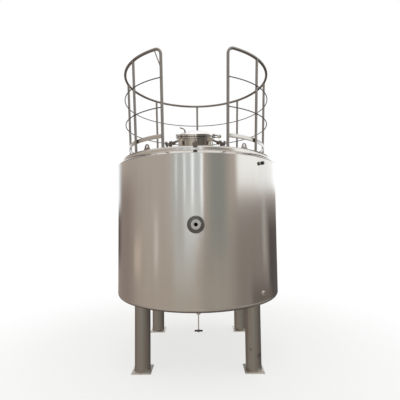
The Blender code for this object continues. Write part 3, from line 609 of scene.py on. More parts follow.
@dataclass(frozen=True)
class Steel(Finish):
    """Bare stainless steel: a grain, cloudy patches, faint streaks and a dull bloom.

    The colour is drawn towards a stain's where a slow noise is high. The roughness follows the
    grain and the clouds, and the bump follows the grain alone.
    """

    grain: Grain = Grain.EVEN
    stain: Colour = (0.30, 0.25, 0.20)
    staining: float = 0.15
    cloud: float = 0.05
    depth: float = 0.08
    anisotropy: float = 0.0
    turn: float = 0.25
    cloud_scale: float = 2.6
    streak_scale: float = 14.0

    def fill(self, graph: Graph, at: Signal) -> None:
        """Fill the material's graph."""
        lines = graph.noise(at, self.grain.value, 3.0)
        clouds = graph.noise(at, self.cloud_scale, 4.0, 0.6)
        streaks = graph.noise(at, (self.streak_scale, self.streak_scale, 0.9), 3.0)
        marks = (clouds * 0.6 + streaks * 0.4).between(0.42, 0.72)
        base = graph.mixed(marks * self.staining, self.colour, self.stain)
        tone = 1.0 + (lines - 0.5) * self.depth + (clouds - 0.5) * self.cloud
        rough = self.roughness + (lines - 0.5) * (0.6 * self.depth) + (clouds - 0.5) * self.cloud
        graph.end({"Base Color": self.tinted(graph, at, graph.scaled(base, tone)),
                   "Roughness": rough.clamped(), "Metallic": 1.0, "Anisotropic": self.anisotropy,
                   "Anisotropic Rotation": self.turn}, lines, self.depth, 0.0004)

    def tinted(self, graph: Graph, at: Signal, base: Signal) -> Signal:
        """Return the base colour, which a steel of another kind tints further."""
        return base


@dataclass(frozen=True)
class MirrorSteel(Steel):
    """Polished steel round a slanting axis, with painted reflections in upright bands and a painted
    shade line.

    The tone is a ramp over the angle about the axis, from -90 to 90 degrees off the front: painted
    reflections, fixed on the steel. It falls off between two heights along the axis, a painted shade
    at the gap under the lid or on the bottom's underside, and the painted reflection bands fade out
    between two more, towards the top.
    """

    place: Place | None = None
    # Painted shade: a dark line between these two heights along the axis, at the lid's gap or under the
    # bottom.
    shade_span: Point = (0.093, 0.106)
    shade_soft: Point = (0.002, 0.003)
    shade_tone: float = 0.40
    reflection_top: Point = (1.0, 1.1)
    reflection_strength: float = 1.0
    # Painted reflections: a tone for each angle off the front, standing in for the surroundings mirrored
    # in the steel.
    reflection_bands: tuple[Point, ...] = (
        (-90, 0.35), (-70, 0.30), (-60, 1.35), (-52, 1.35), (-46, 0.78), (-33, 0.74), (-29, 0.50),
        (-24, 0.55), (-18, 0.90), (3, 1.15), (6, 0.34), (27, 0.32), (33, 0.60), (38, 0.72),
        (42, 1.45), (52, 1.45), (58, 0.85), (75, 0.50), (90, 0.40))

    def tinted(self, graph: Graph, at: Signal, base: Signal) -> Signal:
        """Return the base colour times its painted reflection band and its painted shade line."""
        offset = graph.vector("SUBTRACT", 0, at, tuple(self.place.origin))
        across, behind, height = (graph.vector("DOT_PRODUCT", "Value", offset, tuple(axis))
                                  for axis in self.place.axes.T)
        turn = across.maths("ARCTAN2", across, 0.0 - behind) / math.pi + 0.5
        # Painted reflections, as a ramp over the angle.
        stops = [((angle + 90) / 180, (tone / 2,) * 3) for angle, tone in self.reflection_bands]
        tone = graph.node("ShaderNodeValToRGB", {"stops": stops}, {"Fac": turn})
        plain = height.between(*self.reflection_top)
        tone = tone * (2 * self.reflection_strength) * (1.0 - plain) + plain
        # Painted shade: darker between the two heights.
        (low, high), (under, over) = self.shade_span, self.shade_soft
        inside = height.between(low - under, low) * height.between(high + over, high)
        return graph.scaled(base, tone * (1.0 - inside * (1 - self.shade_tone)))


@dataclass(frozen=True)
class StainedSteel(Steel):
    """Bare steel with small dark stains, each round a point of the surface."""

    spots: tuple[tuple[float, float, float, float], ...] = ()
    spot_depth: float = 0.6

    def tinted(self, graph: Graph, at: Signal, base: Signal) -> Signal:
        """Return the base colour, darker towards each spot's point where a fine noise is high."""
        grime = graph.noise(at, 70.0, 3.0).between(0.38, 0.58)
        tone = 1.0
        for *spot, reach in self.spots:
            away = graph.vector("DISTANCE", "Value", at, tuple(spot))
            tone = tone - away.between(reach, reach * 0.3) * grime * self.spot_depth
        return graph.scaled(base, tone)


@dataclass(frozen=True)
class WeldMetal(Finish):
    """A weld bead: rippled grey metal, straw and blue where the heat has tinted it."""

    straw: Colour = (0.42, 0.31, 0.19)
    blue: Colour = (0.24, 0.25, 0.30)

    def fill(self, graph: Graph, at: Signal) -> None:
        """Fill the material's graph."""
        slow, fine = graph.noise(at, 18.0, 3.0), graph.noise(at, 320.0, 3.0)
        tint = graph.mixed(slow.between(0.48, 0.66), self.colour, self.straw)
        tint = graph.mixed(slow.between(0.62, 0.72), tint, self.blue)
        graph.end({"Base Color": graph.scaled(tint, 0.85 + fine * 0.3),
                   "Roughness": self.roughness + fine * 0.2, "Metallic": 1.0}, fine, 0.3, 0.0006)


@dataclass(frozen=True)
class Moulding(Finish):
    """Rubber or moulded plastic: a fine pitted skin, with dust in a slow noise."""

    dust: Colour

    def fill(self, graph: Graph, at: Signal) -> None:
        """Fill the material's graph."""
        slow, fine = graph.noise(at, 35.0, 4.0, 0.6), graph.noise(at, 900.0)
        dusty = slow.between(0.45, 0.75) * 0.5
        graph.end({"Base Color": graph.mixed(dusty, self.colour, self.dust),
                   "Roughness": self.roughness + dusty * 0.2 + fine * 0.05, "Metallic": 0.0},
                  fine, 0.25, 0.0002)


class Finishes:
    """Every finish of the tank, made once."""

    def __init__(self, manway: Place) -> None:
        """Make the materials; the manway's frame places the painted reflection bands on its neck."""
        sheet, polish, tube = (0.60, 0.565, 0.52), (0.66, 0.62, 0.56), (0.33, 0.31, 0.28)
        bright = {"staining": 0.12, "depth": 0.03, "cloud": 0.04}
        pipe = {"grain": Grain.UPRIGHT, "staining": 0.45, "cloud": 0.10, "cloud_scale": 6.0,
                "streak_scale": 30.0}
        upright = Place(np.zeros(3), np.eye(3))
        # Painted reflections in upright bands on the neck and on the lid's edge; a painted shade line on
        # the neck at the lid's gap.
        self.neck = MirrorSteel("polished_neck", polish, 0.12, place=manway, **bright).material()
        self.lid = MirrorSteel("polished_lid", (0.90, 0.87, 0.83), 0.16, staining=0.06, depth=0.03,
                               cloud=0.04, place=manway, shade_span=(0.0, 0.001),
                               reflection_top=(0.1205, 0.1235), reflection_strength=0.86).material()
        self.wall = Steel("brushed_wall", sheet, 0.14, Grain.AROUND, staining=0.10,
                          anisotropy=0.6, depth=0.04, cloud=0.03).material()
        self.head = Steel("brushed_head", sheet, 0.16, Grain.AROUND, staining=0.18,
                          depth=0.06, cloud=0.04).material()
        # Painted shade: the bottom is darker below its top edge, where it faces down towards the floor.
        self.bottom = MirrorSteel("bottom_sheet", sheet, 0.24, Grain.AROUND, staining=0.2,
                                  depth=0.04, cloud=0.03, place=upright, shade_span=(0.1, 0.727),
                                  reflection_bands=((-90, 1.0), (90, 1.0))).material()
        self.leg = Steel("satin_pipe", tube, 0.36, **pipe).material()
        self.stained_leg = StainedSteel(
            "stained_pipe", tube, 0.36, **pipe,
            spots=((0.561, -0.673, 0.240, 0.022), (0.652, -0.661, 0.170, 0.042))).material()
        self.plate = Steel("foot_plate", (0.82, 0.78, 0.73), 0.45, staining=0.3, cloud=0.12,
                           cloud_scale=12.0).material()
        self.ferrule = Steel("port_steel", (0.50, 0.475, 0.44), 0.18, staining=0.2, depth=0.03,
                             cloud=0.04).material()
        self.rail = Steel("rail_tube", (0.27, 0.243, 0.22), 0.22, staining=0.25, cloud=0.08,
                          cloud_scale=5.0).material()
        self.rod = Steel("thin_rod", (0.12, 0.12, 0.117), 0.26, staining=0.2, cloud=0.04,
                         cloud_scale=5.0).material()
        self.strip = Steel("toe_strip", (0.54, 0.51, 0.47), 0.20, Grain.AROUND,
                           staining=0.2).material()
        self.polished = Steel("polished_steel", polish, 0.10, **bright).material()
        self.bolt = Steel("dark_bolt_steel", (0.26, 0.23, 0.21), 0.22, stain=(0.10, 0.08, 0.07),
                          staining=0.4, cloud=0.10, cloud_scale=40.0).material()
        # Painted reflection: the front port's steel ring is given a near-black colour for the dark
        # surroundings that it mirrors.
        self.pad = Steel("port_ring_painted_reflection", (0.15, 0.145, 0.135), 0.42, staining=0.3, cloud=0.08,
                         cloud_scale=20.0).material()
        self.weld = WeldMetal("weld_metal", (0.42, 0.40, 0.37), 0.3).material()
        self.rubber = Moulding("black_rubber", (0.02,) * 3, 0.6, (0.08, 0.075, 0.07)).material()
        self.plastic = Moulding("black_plastic", (0.012,) * 3, 0.38, (0.06, 0.055, 0.05)).material()


# Sub-assemblies

@dataclass
class Shell:
    """The jacketed wall with its three fittings' holes, and the closed bottom under it."""

    bottom: float = 0.745
    top: float = 2.277
    columns: int = 288
    rows: int = 72
    sway: float = 0.00035
    sway_rise: float = 20.0
    waves: tuple[tuple[float, float, float, float, float], ...] = (
        (1.0, 7, 1.3, 4.1, 0.4), (0.6, 13, 0.0, 7.7, 0.0), (0.4, 23, 2.0, 11.3, 1.0))
    edge: float = 0.0025
    knuckle: float = 0.040
    slope: float = 0.20
    skin: float = 0.012
    outlet: float = 0.0325
    ports: tuple[tuple[float, float, float], ...] = (
        (0.0, 1.567, 0.084), (45.0, 2.214, 0.016), (45.0, 0.830, 0.025))
    port_surround: float = 1.55
    seam_azimuth: float = 160.0

    def lift(self, radius: float, sway: float) -> Lift:
        """Return the lift of (length round, height) plan points onto a cylinder.

        The sheet sways inwards by sway (1 + w / 2), and by nothing at its two ends. Here w is the
        sum of the waves, each a product of a slow sine of the angle and one of the height.
        """
        def lifted(plan: Array) -> Array:
            """Return the points of the plan on the swaying cylinder."""
            angle, height = plan[..., 0] / OUTER, plan[..., 1]
            wave = sum(size * np.sin(turn * angle + lead) * np.sin(rise * height + start)
                       for size, turn, lead, rise, start in self.waves)
            ends = np.clip((height - self.bottom) * (self.top - height) * self.sway_rise, 0, 1)
            return azimuth_points(radius - sway * ends * (1 + wave / 2), np.degrees(angle), height)
        return lifted

    def wall(self) -> Piece:
        """Return the wall: two sheets, the rims between them and a sleeve at each hole."""
        azimuths = np.linspace(-180, 180, self.columns + 1)
        heights = np.linspace(self.bottom + self.edge, self.top - self.edge, self.rows + 1)
        sheet = pierced(np.radians(azimuths) * OUTER, heights, [
            (math.radians(azimuth) * OUTER, height, radius + GAP, radius * self.port_surround)
            for azimuth, height, radius in self.ports])
        outer, inner = self.lift(OUTER, self.sway), self.lift(INNER, 0.0)
        patches = [*sheet.patches(outer), *sheet.patches(inner), *sheet.sleeves((outer, inner))]
        for end, edge in ((self.bottom, self.edge), (self.top, -self.edge)):
            rim = rounded([(OUTER, end + edge), (OUTER, end), (INNER, end), (INNER, end + edge)],
                          [self.edge * 0.95, 0.0])
            patches.append(turned(rim, azimuths))
        return Piece("wall_sheet").add(patches)

    def bottom_height(self, radius: float) -> float:
        """Return the height of the bottom cone's outside at a radius."""
        return self.bottom - self.knuckle - self.slope * (OUTER - self.knuckle - radius)

    def bottom_cone(self) -> Piece:
        """Return the bottom: a knuckle at the wall and a shallow cone down to the outlet."""
        turn = np.linspace(0, math.pi / 2, 13)
        seat, hole, inner = self.bottom - GAP, self.outlet + GAP, INNER - 2 * self.skin
        knuckle = stacked(OUTER - self.knuckle * (1 - np.cos(turn)),
                          seat - self.knuckle * np.sin(turn))
        rest = [(radius, self.bottom_height(radius) + rise) for radius, rise in (
            (hole, 0.0), (hole, self.skin), (inner, self.skin), (INNER, 2 * self.skin))]
        section = np.concatenate((knuckle, rest, [(INNER, seat), (OUTER, seat)]))
        return Piece("bottom_cone").add([lathe(refined(section, 0.04), 240, -180)])

    def seam(self) -> Piece:
        """Return the welds: a fine one up the wall's rear right and one round its lower edge."""
        heights = np.linspace(self.bottom + 0.01, self.top - 0.01, 700)
        upright = azimuth_points(OUTER - 0.0016, self.seam_azimuth, heights)
        made = Piece("wall_welds").add(bead(upright, 0.0022, np.array((0.0, 1.0, 0.0)), False))
        return made.add(ring_bead(OUTER - 0.0017, self.bottom, 0.0016, 720, 0.02))

    def build(self, finishes: Finishes) -> None:
        """Make and dress the wall, the bottom and their welds."""
        self.wall().place(finishes.wall, TANK, "body_shell")
        self.bottom_cone().place(finishes.bottom, TANK, "bottom_head")
        self.seam().place(finishes.wall, TANK, slot="body_shell")


@dataclass
class Head:
    """The sloping shoulder on the wall and the conical head with the manway's hole."""

    base: float = 2.2773
    shoulder_radius: float = 0.943
    shoulder_top: float = 2.319
    lip_round: float = 0.026
    rim_radius: float = 0.918
    rim_height: float = 2.367
    slope: float = 0.235
    crown: float = 0.260
    skin: float = 0.012
    columns: int = 240
    manway_y: float = -0.610
    manway_tilt: float = math.radians(14.0)
    neck_radius: float = 0.193
    window_depth: float = 0.045
    window_azimuth: float = 24.0

    def height(self, radius: Array | float) -> Array:
        """Return the head's height: a cone, and a paraboloid that meets it inside the crown."""
        radius = np.asarray(radius, float)
        cone = self.rim_height + self.slope * (self.rim_radius - radius)
        edge = self.rim_height + self.slope * (self.rim_radius - self.crown)
        cap = edge + self.slope * (self.crown - radius ** 2 / self.crown) / 2
        return np.where(radius >= self.crown, cone, cap)

    def seated(self, points: Array, over: float = 0.0) -> Array:
        """Return points moved upright to stand a little over the head."""
        x, y = points[..., 0], points[..., 1]
        return stacked(x, y, self.height(np.hypot(x, y)) + over)

    def manway(self) -> Place:
        """Return the manway's frame: X to the right, Y up the slope, Z out of the head."""
        sine, cosine = math.sin(self.manway_tilt), math.cos(self.manway_tilt)
        axes = np.array(((1, 0, 0), (0, cosine, -sine), (0, sine, cosine)), float)
        return Place(np.array((0, self.manway_y, float(self.height(-self.manway_y)))), axes)

    def neck_foot(self, turn: Array, radius: float) -> Array:
        """Return where a tube about the manway's axis meets the head, turn by turn.

        Each point slides along the axis by its height over the head until it lies on it.
        """
        place = self.manway()
        points = place(level_spokes(turn) * radius)
        for _ in range(8):
            over = points[..., 2:] - self.seated(points)[..., 2:]
            points = points - over * place.axes[:, 2]
        return points

    def cone(self) -> Piece:
        """Return the head: two sheets of polar cells, the rim between them and the sleeve."""
        azimuths = np.linspace(-180, 180, self.columns + 1)
        inner_rim = INNER - self.skin
        patches, sleeve = [], []
        for drop, last in ((0.0, self.rim_radius), (self.skin, inner_rim)):
            radii = np.concatenate((np.linspace(0, self.crown, 9),
                                    np.linspace(self.crown, last, 35)[1:]))
            reach = self.neck_radius + self.window_depth
            window = Window(window_cells(radii, -self.manway_y, reach),
                            window_cells(azimuths, 0.0, self.window_azimuth), (0.0, self.manway_y),
                            lambda angle: self.neck_foot(angle, self.neck_radius + GAP)[..., :2])
            sheet = Sheet(azimuth_points(radii[:, None], azimuths, 0.0)[..., :2], [window])
            patches += sheet.patches(lambda plan: self.seated(plan, -drop))
            sleeve.append(self.seated(sheet.edge(window), -drop))
        lip, seat = self.shoulder_radius - 0.005, self.shoulder_top + GAP
        start = lip - self.lip_round * math.tan(math.pi / 4 - math.atan(self.slope) / 2) * 1.05
        rim = rounded([(self.rim_radius, self.rim_height), (start, float(self.height(start))),
                       (lip, float(self.height(lip))), (lip, seat), (inner_rim, seat),
                       (inner_rim, float(self.height(inner_rim)) - self.skin)],
                      [0.0, self.lip_round, 0.001, 0.001], 8)
        return Piece("head_cone").add([*patches, np.stack(sleeve), turned(rim, azimuths)])

    def shoulder(self) -> Piece:
        """Return the shoulder ring: a rounded edge at the wall and a slope up to the head."""
        top = self.shoulder_top
        section = rounded([(INNER, self.base), (OUTER, self.base), (OUTER, self.base + 0.003),
                           (self.shoulder_radius, top), (INNER, top), (INNER, self.base)],
                          [0.0, 0.007, 0.004, 0.0])
        return Piece("shoulder_slope").add([lathe(refined(section, 0.02), 288)])

    def lip_weld(self) -> Piece:
        """Return the bright bead where the head's lip stands on the shoulder."""
        return Piece("lip_weld").add(ring_bead(self.shoulder_radius - 0.004,
                                               self.shoulder_top + 0.0005, 0.0028, 720, 0.009))

    def build(self, finishes: Finishes) -> None:
        """Make and dress the shoulder, the head and the bead between them."""
        self.shoulder().place(finishes.head, TANK, "shoulder_ring")
        self.cone().place(finishes.head, TANK, "top_head")
        self.lip_weld().place(finishes.head, TANK, slot="top_head")


@dataclass
class Legs:
    """Four tube legs coped to the bottom cone, their foot plates and welds.

    A dent in a leg is its angle off the front, its height, its width and its depth.
    """

    shell: Shell
    offset: float = 0.597
    radius: float = 0.08415
    wall: float = 0.006
    plate_side: float = 0.207
    plate_thickness: float = 0.012
    plate_edge: float = 0.0012
    hole_radius: float = 0.009
    hole_inset: float = 0.019
    hole_surround: float = 0.0135
    sides: int = 96
    rows: int = 48
    dents: tuple[tuple[float, float, float, float], ...] = (
        (-0.36, 0.235, 0.012, 0.0010), (1.03, 0.165, 0.014, 0.0014))
    foot_bead: float = 0.0045
    top_bead: float = 0.004

    def centres(self) -> dict[str, Array]:
        """Return the middle of each leg on the ground by its name."""
        return {f"{row}_{side}": np.array((x * self.offset, y * self.offset, 0.0))
                for row, y in (("front", -1), ("rear", 1)) for side, x in (("left", -1), ("right", 1))}

    def top(self, x: Array, y: Array) -> Array:
        """Return the height of a leg's coped top under the bottom cone."""
        reach = np.minimum(np.hypot(x, y), OUTER - self.shell.knuckle)
        return self.shell.bottom_height(0.0) + self.shell.slope * reach - 2 * GAP

    def tube(self, name: str, centre: Array, dented: bool) -> Piece:
        """Return one leg: z runs from the plate to the cope, and each dent is a bell in depth."""
        turn, share = turns(self.sides), np.linspace(0, 1, self.rows + 1)[:, None]
        foot = self.plate_thickness + GAP
        sheets = []
        for radius, dents in ((self.radius, self.dents if dented else ()),
                              (self.radius - self.wall, ())):
            x, y = centre[0] + radius * np.cos(turn), centre[1] + radius * np.sin(turn)
            height = foot + share * (self.top(x, y) - foot)
            reach = radius
            for azimuth, up, width, depth in dents:
                side = np.angle(np.exp(1j * (turn + math.pi / 2 - azimuth))) * radius
                reach = reach - depth * np.exp(-(side ** 2 + (height - up) ** 2) / width ** 2)
            sheets.append(stacked(centre[0] + reach * np.cos(turn),
                                  centre[1] + reach * np.sin(turn), height))
        outer, inner = sheets
        ends = [np.stack((outer[row], inner[row])) for row in (0, -1)]
        return Piece(name).add([outer, inner, *ends])

    def plate(self, name: str, centre: Array) -> Piece:
        """Return a square plate with rounded edges and four holes."""
        half, edge = self.plate_side / 2, self.plate_edge
        lines = np.linspace(-half + edge, half - edge, 25)
        holes = (self.hole_inset - half, half - self.hole_inset)
        sheet = pierced(lines, lines, [(x, y, self.hole_radius, self.hole_surround)
                                       for x in holes for y in holes], 3)

        def lift(height: float) -> Lift:
            """Return the lift of plan points to a height over the plate's centre."""
            return lambda plan: stacked(plan[..., 0] + centre[0], plan[..., 1] + centre[1], height)
        top, bottom = lift(self.plate_thickness), lift(0.0)
        whole = (0, len(lines) - 1)
        turn = np.linspace(0, math.pi / 2, 4)
        grow, drop = edge * np.sin(turn), edge * (1 - np.cos(turn))
        sizes = 1 + np.concatenate((grow, grow[::-1])) / (half - edge)
        heights = np.concatenate((self.plate_thickness - drop, drop[::-1]))
        rim = lift(heights[:, None])(sheet.loop(whole, whole) * sizes[:, None, None])
        return Piece(name).add([*sheet.patches(top), *sheet.patches(bottom),
                                *sheet.sleeves((top, bottom)), rim])

    def welds(self) -> Piece:
        """Return the beads round the foot and the coped top of every leg."""
        made, out = Piece("leg_welds"), level_spokes(turns(240))
        for centre in self.centres().values():
            foot = centre + out * (self.radius + 0.001)
            made.add(bead(foot + UP * (self.plate_thickness + 0.001), self.foot_bead, out))
            top = centre + out * (self.radius + 0.0005)
            top[:, 2] = self.top(top[:, 0], top[:, 1]) - 0.001
            made.add(bead(top, self.top_bead, out))
        return made

    def build(self, finishes: Finishes) -> None:
        """Make and dress the legs, plates and welds."""
        for name, centre in self.centres().items():
            dented = name == "front_right"
            finish = finishes.stained_leg if dented else finishes.leg
            self.tube(f"pipe_{name}", centre, dented).place(finish, TANK, f"leg_{name}")
            self.plate(f"foot_{name}", centre).place(finishes.plate, TANK, f"base_plate_{name}")
        self.welds().place(finishes.weld, TANK, slot="leg_front_left")


@dataclass
class GuardRail:
    """The handrail, posts, thin rails, toe board and brace, with the welds that join them."""

    head: Head
    foot_radius: float = 0.876
    top_radius: float = 0.916
    top: float = 3.4399
    tube: float = 0.016
    post_tube: float = 0.015
    end_azimuth: float = 23.0
    run_azimuth: float = 23.35
    bend: float = 0.070
    thin: float = 0.006
    thin_heights: Point = (3.118, 2.800)
    toe_bottom: float = 2.482
    toe_height: float = 0.046
    toe_thickness: float = 0.004
    seat: float = 0.0005
    brace_tube: float = 0.006
    brace_azimuth: float = -28.2
    brace_foot: float = 3.220
    foot_beads: Point = (0.0038, 0.0022)
    top_bead: float = 0.0020
    tack: float = 0.0021
    tack_half: float = 0.35
    posts: tuple[tuple[str, float], ...] = (
        ("left_front", -50.7), ("left_mid", -93.5), ("left_rear", -137.0), ("rear", 180.0),
        ("right_rear", 137.0), ("right_mid", 93.5), ("right_front", 50.7))

    def radius_at(self, height: Array | float) -> Array:
        """Return the radius of the leaning posts' centre lines at a height."""
        foot = float(self.head.height(self.foot_radius))
        share = (np.asarray(height) - foot) / (self.top - foot)
        return self.foot_radius + share * (self.top_radius - self.foot_radius)

    def handrail(self) -> Piece:
        """Return the handrail: up one end post, a quarter bend, round the back and down."""
        foot = float(self.head.height(self.foot_radius - self.tube)) + 2 * GAP
        straight = self.top - self.bend
        first = self.end_azimuth + math.degrees(self.bend / self.top_radius)
        rise = np.linspace(foot, straight, 40)
        post = azimuth_points(self.radius_at(rise), self.end_azimuth, rise)
        turn = np.linspace(0, math.pi / 2, 13)[1:-1]
        height = straight + self.bend * np.sin(turn)
        azimuth = first - (first - self.end_azimuth) * np.cos(turn)
        half = np.concatenate((post, azimuth_points(self.radius_at(height), azimuth, height)))
        ring = azimuth_points(self.top_radius, np.linspace(first, 360 - first, 241), self.top)
        path = np.concatenate((half, ring, half[::-1] * np.array((-1.0, 1.0, 1.0))))
        return Piece("top_rail").add(rod(path, self.tube, 28, path * np.array((1.0, 1.0, 0.0))))

    def cope(self, azimuth: float, sides: int, swell: float, seat: float) -> tuple[Array, Array]:
        """Return the line where a post meets the handrail's underside, and its way outwards.

        Args:
            azimuth: the post's azimuth.
            sides: the pieces of the line.
            swell: the line's radius as a share of the post's.
            seat: how far under the handrail it runs.

        Returns:
            The points of the line, and the unit direction from the post's axis at each.
        """
        turn = turns(sides)[:, None]
        out, side = wall_axes(azimuth)
        spoke = out * np.cos(turn) + side * np.sin(turn)
        line = out * self.top_radius + spoke * self.post_tube * swell
        reach = self.post_tube * np.cos(turn[:, 0])
        line[:, 2] = self.top - np.sqrt((self.tube + seat) ** 2 - reach ** 2)
        return line, spoke

    def post(self, name: str, azimuth: float) -> Piece:
        """Return a post: each line of its surface runs from the head up to the handrail's cope."""
        high, spoke = self.cope(azimuth, 28, 1.0, self.seat)
        low = wall_axes(azimuth)[0] * self.foot_radius + spoke * self.post_tube
        share = np.linspace(0, 1, 25)[:, None, None]
        return Piece(name).add(closed_ends(self.head.seated(low, GAP) * (1 - share) + high * share))

    def run(self) -> Array:
        """Return the azimuths of the runs between the two end posts, round the back."""
        return np.linspace(self.run_azimuth, 360 - self.run_azimuth, 241)

    def thin_rail(self, name: str, height: float) -> Piece:
        """Return a thin rod round the outside of the posts."""
        radius = self.radius_at(height) + self.post_tube - self.thin * 0.2
        path = azimuth_points(radius, self.run(), height)
        return Piece(name).add(rod(path, self.thin - 0.0001, 14, azimuth_points(1.0, self.run(), 0.0)))

    def toe_board(self) -> Piece:
        """Return the flat bar inside the posts' feet: a rounded strip that leans as they do."""
        bottom, top = self.toe_bottom, self.toe_bottom + self.toe_height
        low, high = self.radius_at(np.array((bottom, top))) - self.post_tube - self.seat
        start = ((low + high) / 2 - self.toe_thickness / 2, bottom)
        section = rounded([start, (low, bottom), (high, top), (high - self.toe_thickness, top),
                           (low - self.toe_thickness, bottom), start], [0.0012] * 4, 3)
        patch = azimuth_points(section[:, 0], self.run()[:, None], section[:, 1])
        return Piece("kick_strip").add(closed_ends(patch))

    def brace(self) -> Piece:
        """Return the short rod from the left end post up to the handrail."""
        top = azimuth_points(self.top_radius, self.brace_azimuth, self.top)
        foot = azimuth_points(self.radius_at(self.brace_foot), -self.end_azimuth, self.brace_foot)
        trim = self.tube * 1.02 / np.linalg.norm(top - foot)
        path = foot + np.linspace(trim, 1 - trim, 12)[:, None] * (top - foot)
        return Piece("corner_rod").add(rod(path, self.brace_tube, 16, np.array((0.0, 1.0, 0.0))))

    def welds(self) -> Piece:
        """Return the beads at the posts' feet and tops, and the tacks of the thin rails."""
        made, flat = Piece("rail_welds"), level_spokes(turns(48))
        ends = [(azimuth, self.tube) for azimuth in (-self.end_azimuth, self.end_azimuth)]
        for azimuth, tube in [(azimuth, self.post_tube) for _, azimuth in self.posts] + ends:
            foot = azimuth_points(self.foot_radius, azimuth, 0.0) + flat * (tube + 0.0008)
            foot = self.head.seated(foot, 0.0012)
            for rise, size in zip((0.0, 0.0030), self.foot_beads):
                made.add(bead(foot + UP * rise, size, flat))
            span = azimuth + np.linspace(-self.tack_half, self.tack_half, 9)
            for height in self.thin_heights:
                inner = self.radius_at(height) + self.post_tube + 0.0015
                for rise in (-self.thin * 0.8, self.thin * 0.8):
                    tack = azimuth_points(inner, span, height + rise)
                    made.add(bead(tack, self.tack, UP, False))
        for _, azimuth in self.posts:
            line, spoke = self.cope(azimuth, 48, 1.03, 0.0)
            made.add(bead(line, self.top_bead, spoke))
        return made

    def build(self, finishes: Finishes) -> None:
        """Make and dress every part of the guard rail."""
        self.handrail().place(finishes.rail, TANK, "handrail")
        for name, azimuth in self.posts:
            self.post(f"post_{name}", azimuth).place(finishes.rail, TANK, f"rail_post_{name}")
        for name, height in zip(("upper", "lower"), self.thin_heights):
            self.thin_rail(f"thin_rail_{name}", height).place(finishes.rod, TANK, f"mid_rail_{name}")
        self.toe_board().place(finishes.strip, TANK, "toe_board")
        self.brace().place(finishes.rail, TANK, "corner_brace")
        self.welds().place(finishes.weld, TANK, slot="handrail")


@dataclass
class Lugs:
    """Four lifting lugs standing on the head, each an eye plate with a hole."""

    head: Head
    radius: float = 0.882
    width: float = 0.090
    thickness: float = 0.012
    eye_height: float = 0.036
    eye_radius: float = 0.028
    hole_radius: float = 0.015
    sink: float = 0.0008
    azimuths: tuple[tuple[str, float], ...] = (
        ("front_left", -36.8), ("front_right", 36.8), ("rear_left", -143.2), ("rear_right", 143.2))

    def place(self, azimuth: float) -> Place:
        """Return a lug's frame: X along the rim, Y up, Z out from the tank's axis."""
        return Place.facing(self.radius, azimuth, float(self.head.height(self.radius)))

    def outline(self) -> Array:
        """Return the closed outline of a lug, from its foot up round the eye."""
        half = self.width / 2
        eye = spokes(np.radians(np.linspace(10, 170, 33)), self.eye_radius)
        eye = eye + np.array((0.0, self.eye_height))
        foot = stacked(np.linspace(-half, half, 25), self.sink)
        return np.concatenate((foot, np.linspace(foot[-1], eye[0], 7)[1:-1], eye,
                               np.linspace(eye[-1], foot[0], 7)[1:]))

    def eye_plate(self, name: str, azimuth: float) -> Piece:
        """Return one lug: rows run from the hole over the rim and back to the hole."""
        outline, centre = self.outline(), np.array((0.0, self.eye_height))
        x, y = (outline - centre).T
        hole = round_edge(centre, self.hole_radius)(np.arctan2(y, x))
        rows = plate_rows(outline, self.thickness / 2, 0.0015, hole)
        rows = np.concatenate((rows, rows[:1]))
        points = self.place(azimuth)(rows)
        surface = self.head.seated(points, self.sink)[..., 2]
        sunk = (rows[..., 1] < self.eye_height / 4) & (points[..., 2] < surface)
        points[..., 2] = np.where(sunk, surface, points[..., 2])
        return Piece(name).add([points])

    def weld(self) -> Piece:
        """Return the bead round the foot of each lug, an oval on the head's slope."""
        made, turn = Piece("lug_welds"), turns(120)
        half, depth = self.width / 2, self.thickness / 2
        local = stacked(np.clip(np.cos(turn) * half * 1.12, -half, half), 0.0,
                        np.clip(np.sin(turn) * depth * 3.0, -depth - 0.0008, depth + 0.0008))
        for _, azimuth in self.azimuths:
            made.add(bead(self.head.seated(self.place(azimuth)(local), 0.001), 0.0032, UP))
        return made

    def build(self, finishes: Finishes) -> None:
        """Make and dress the lugs and their welds."""
        for name, azimuth in self.azimuths:
            self.eye_plate(f"eye_{name}", azimuth).place(finishes.rail, TANK, f"lug_{name}")
        self.weld().place(finishes.weld, TANK, slot="lug_front_left")


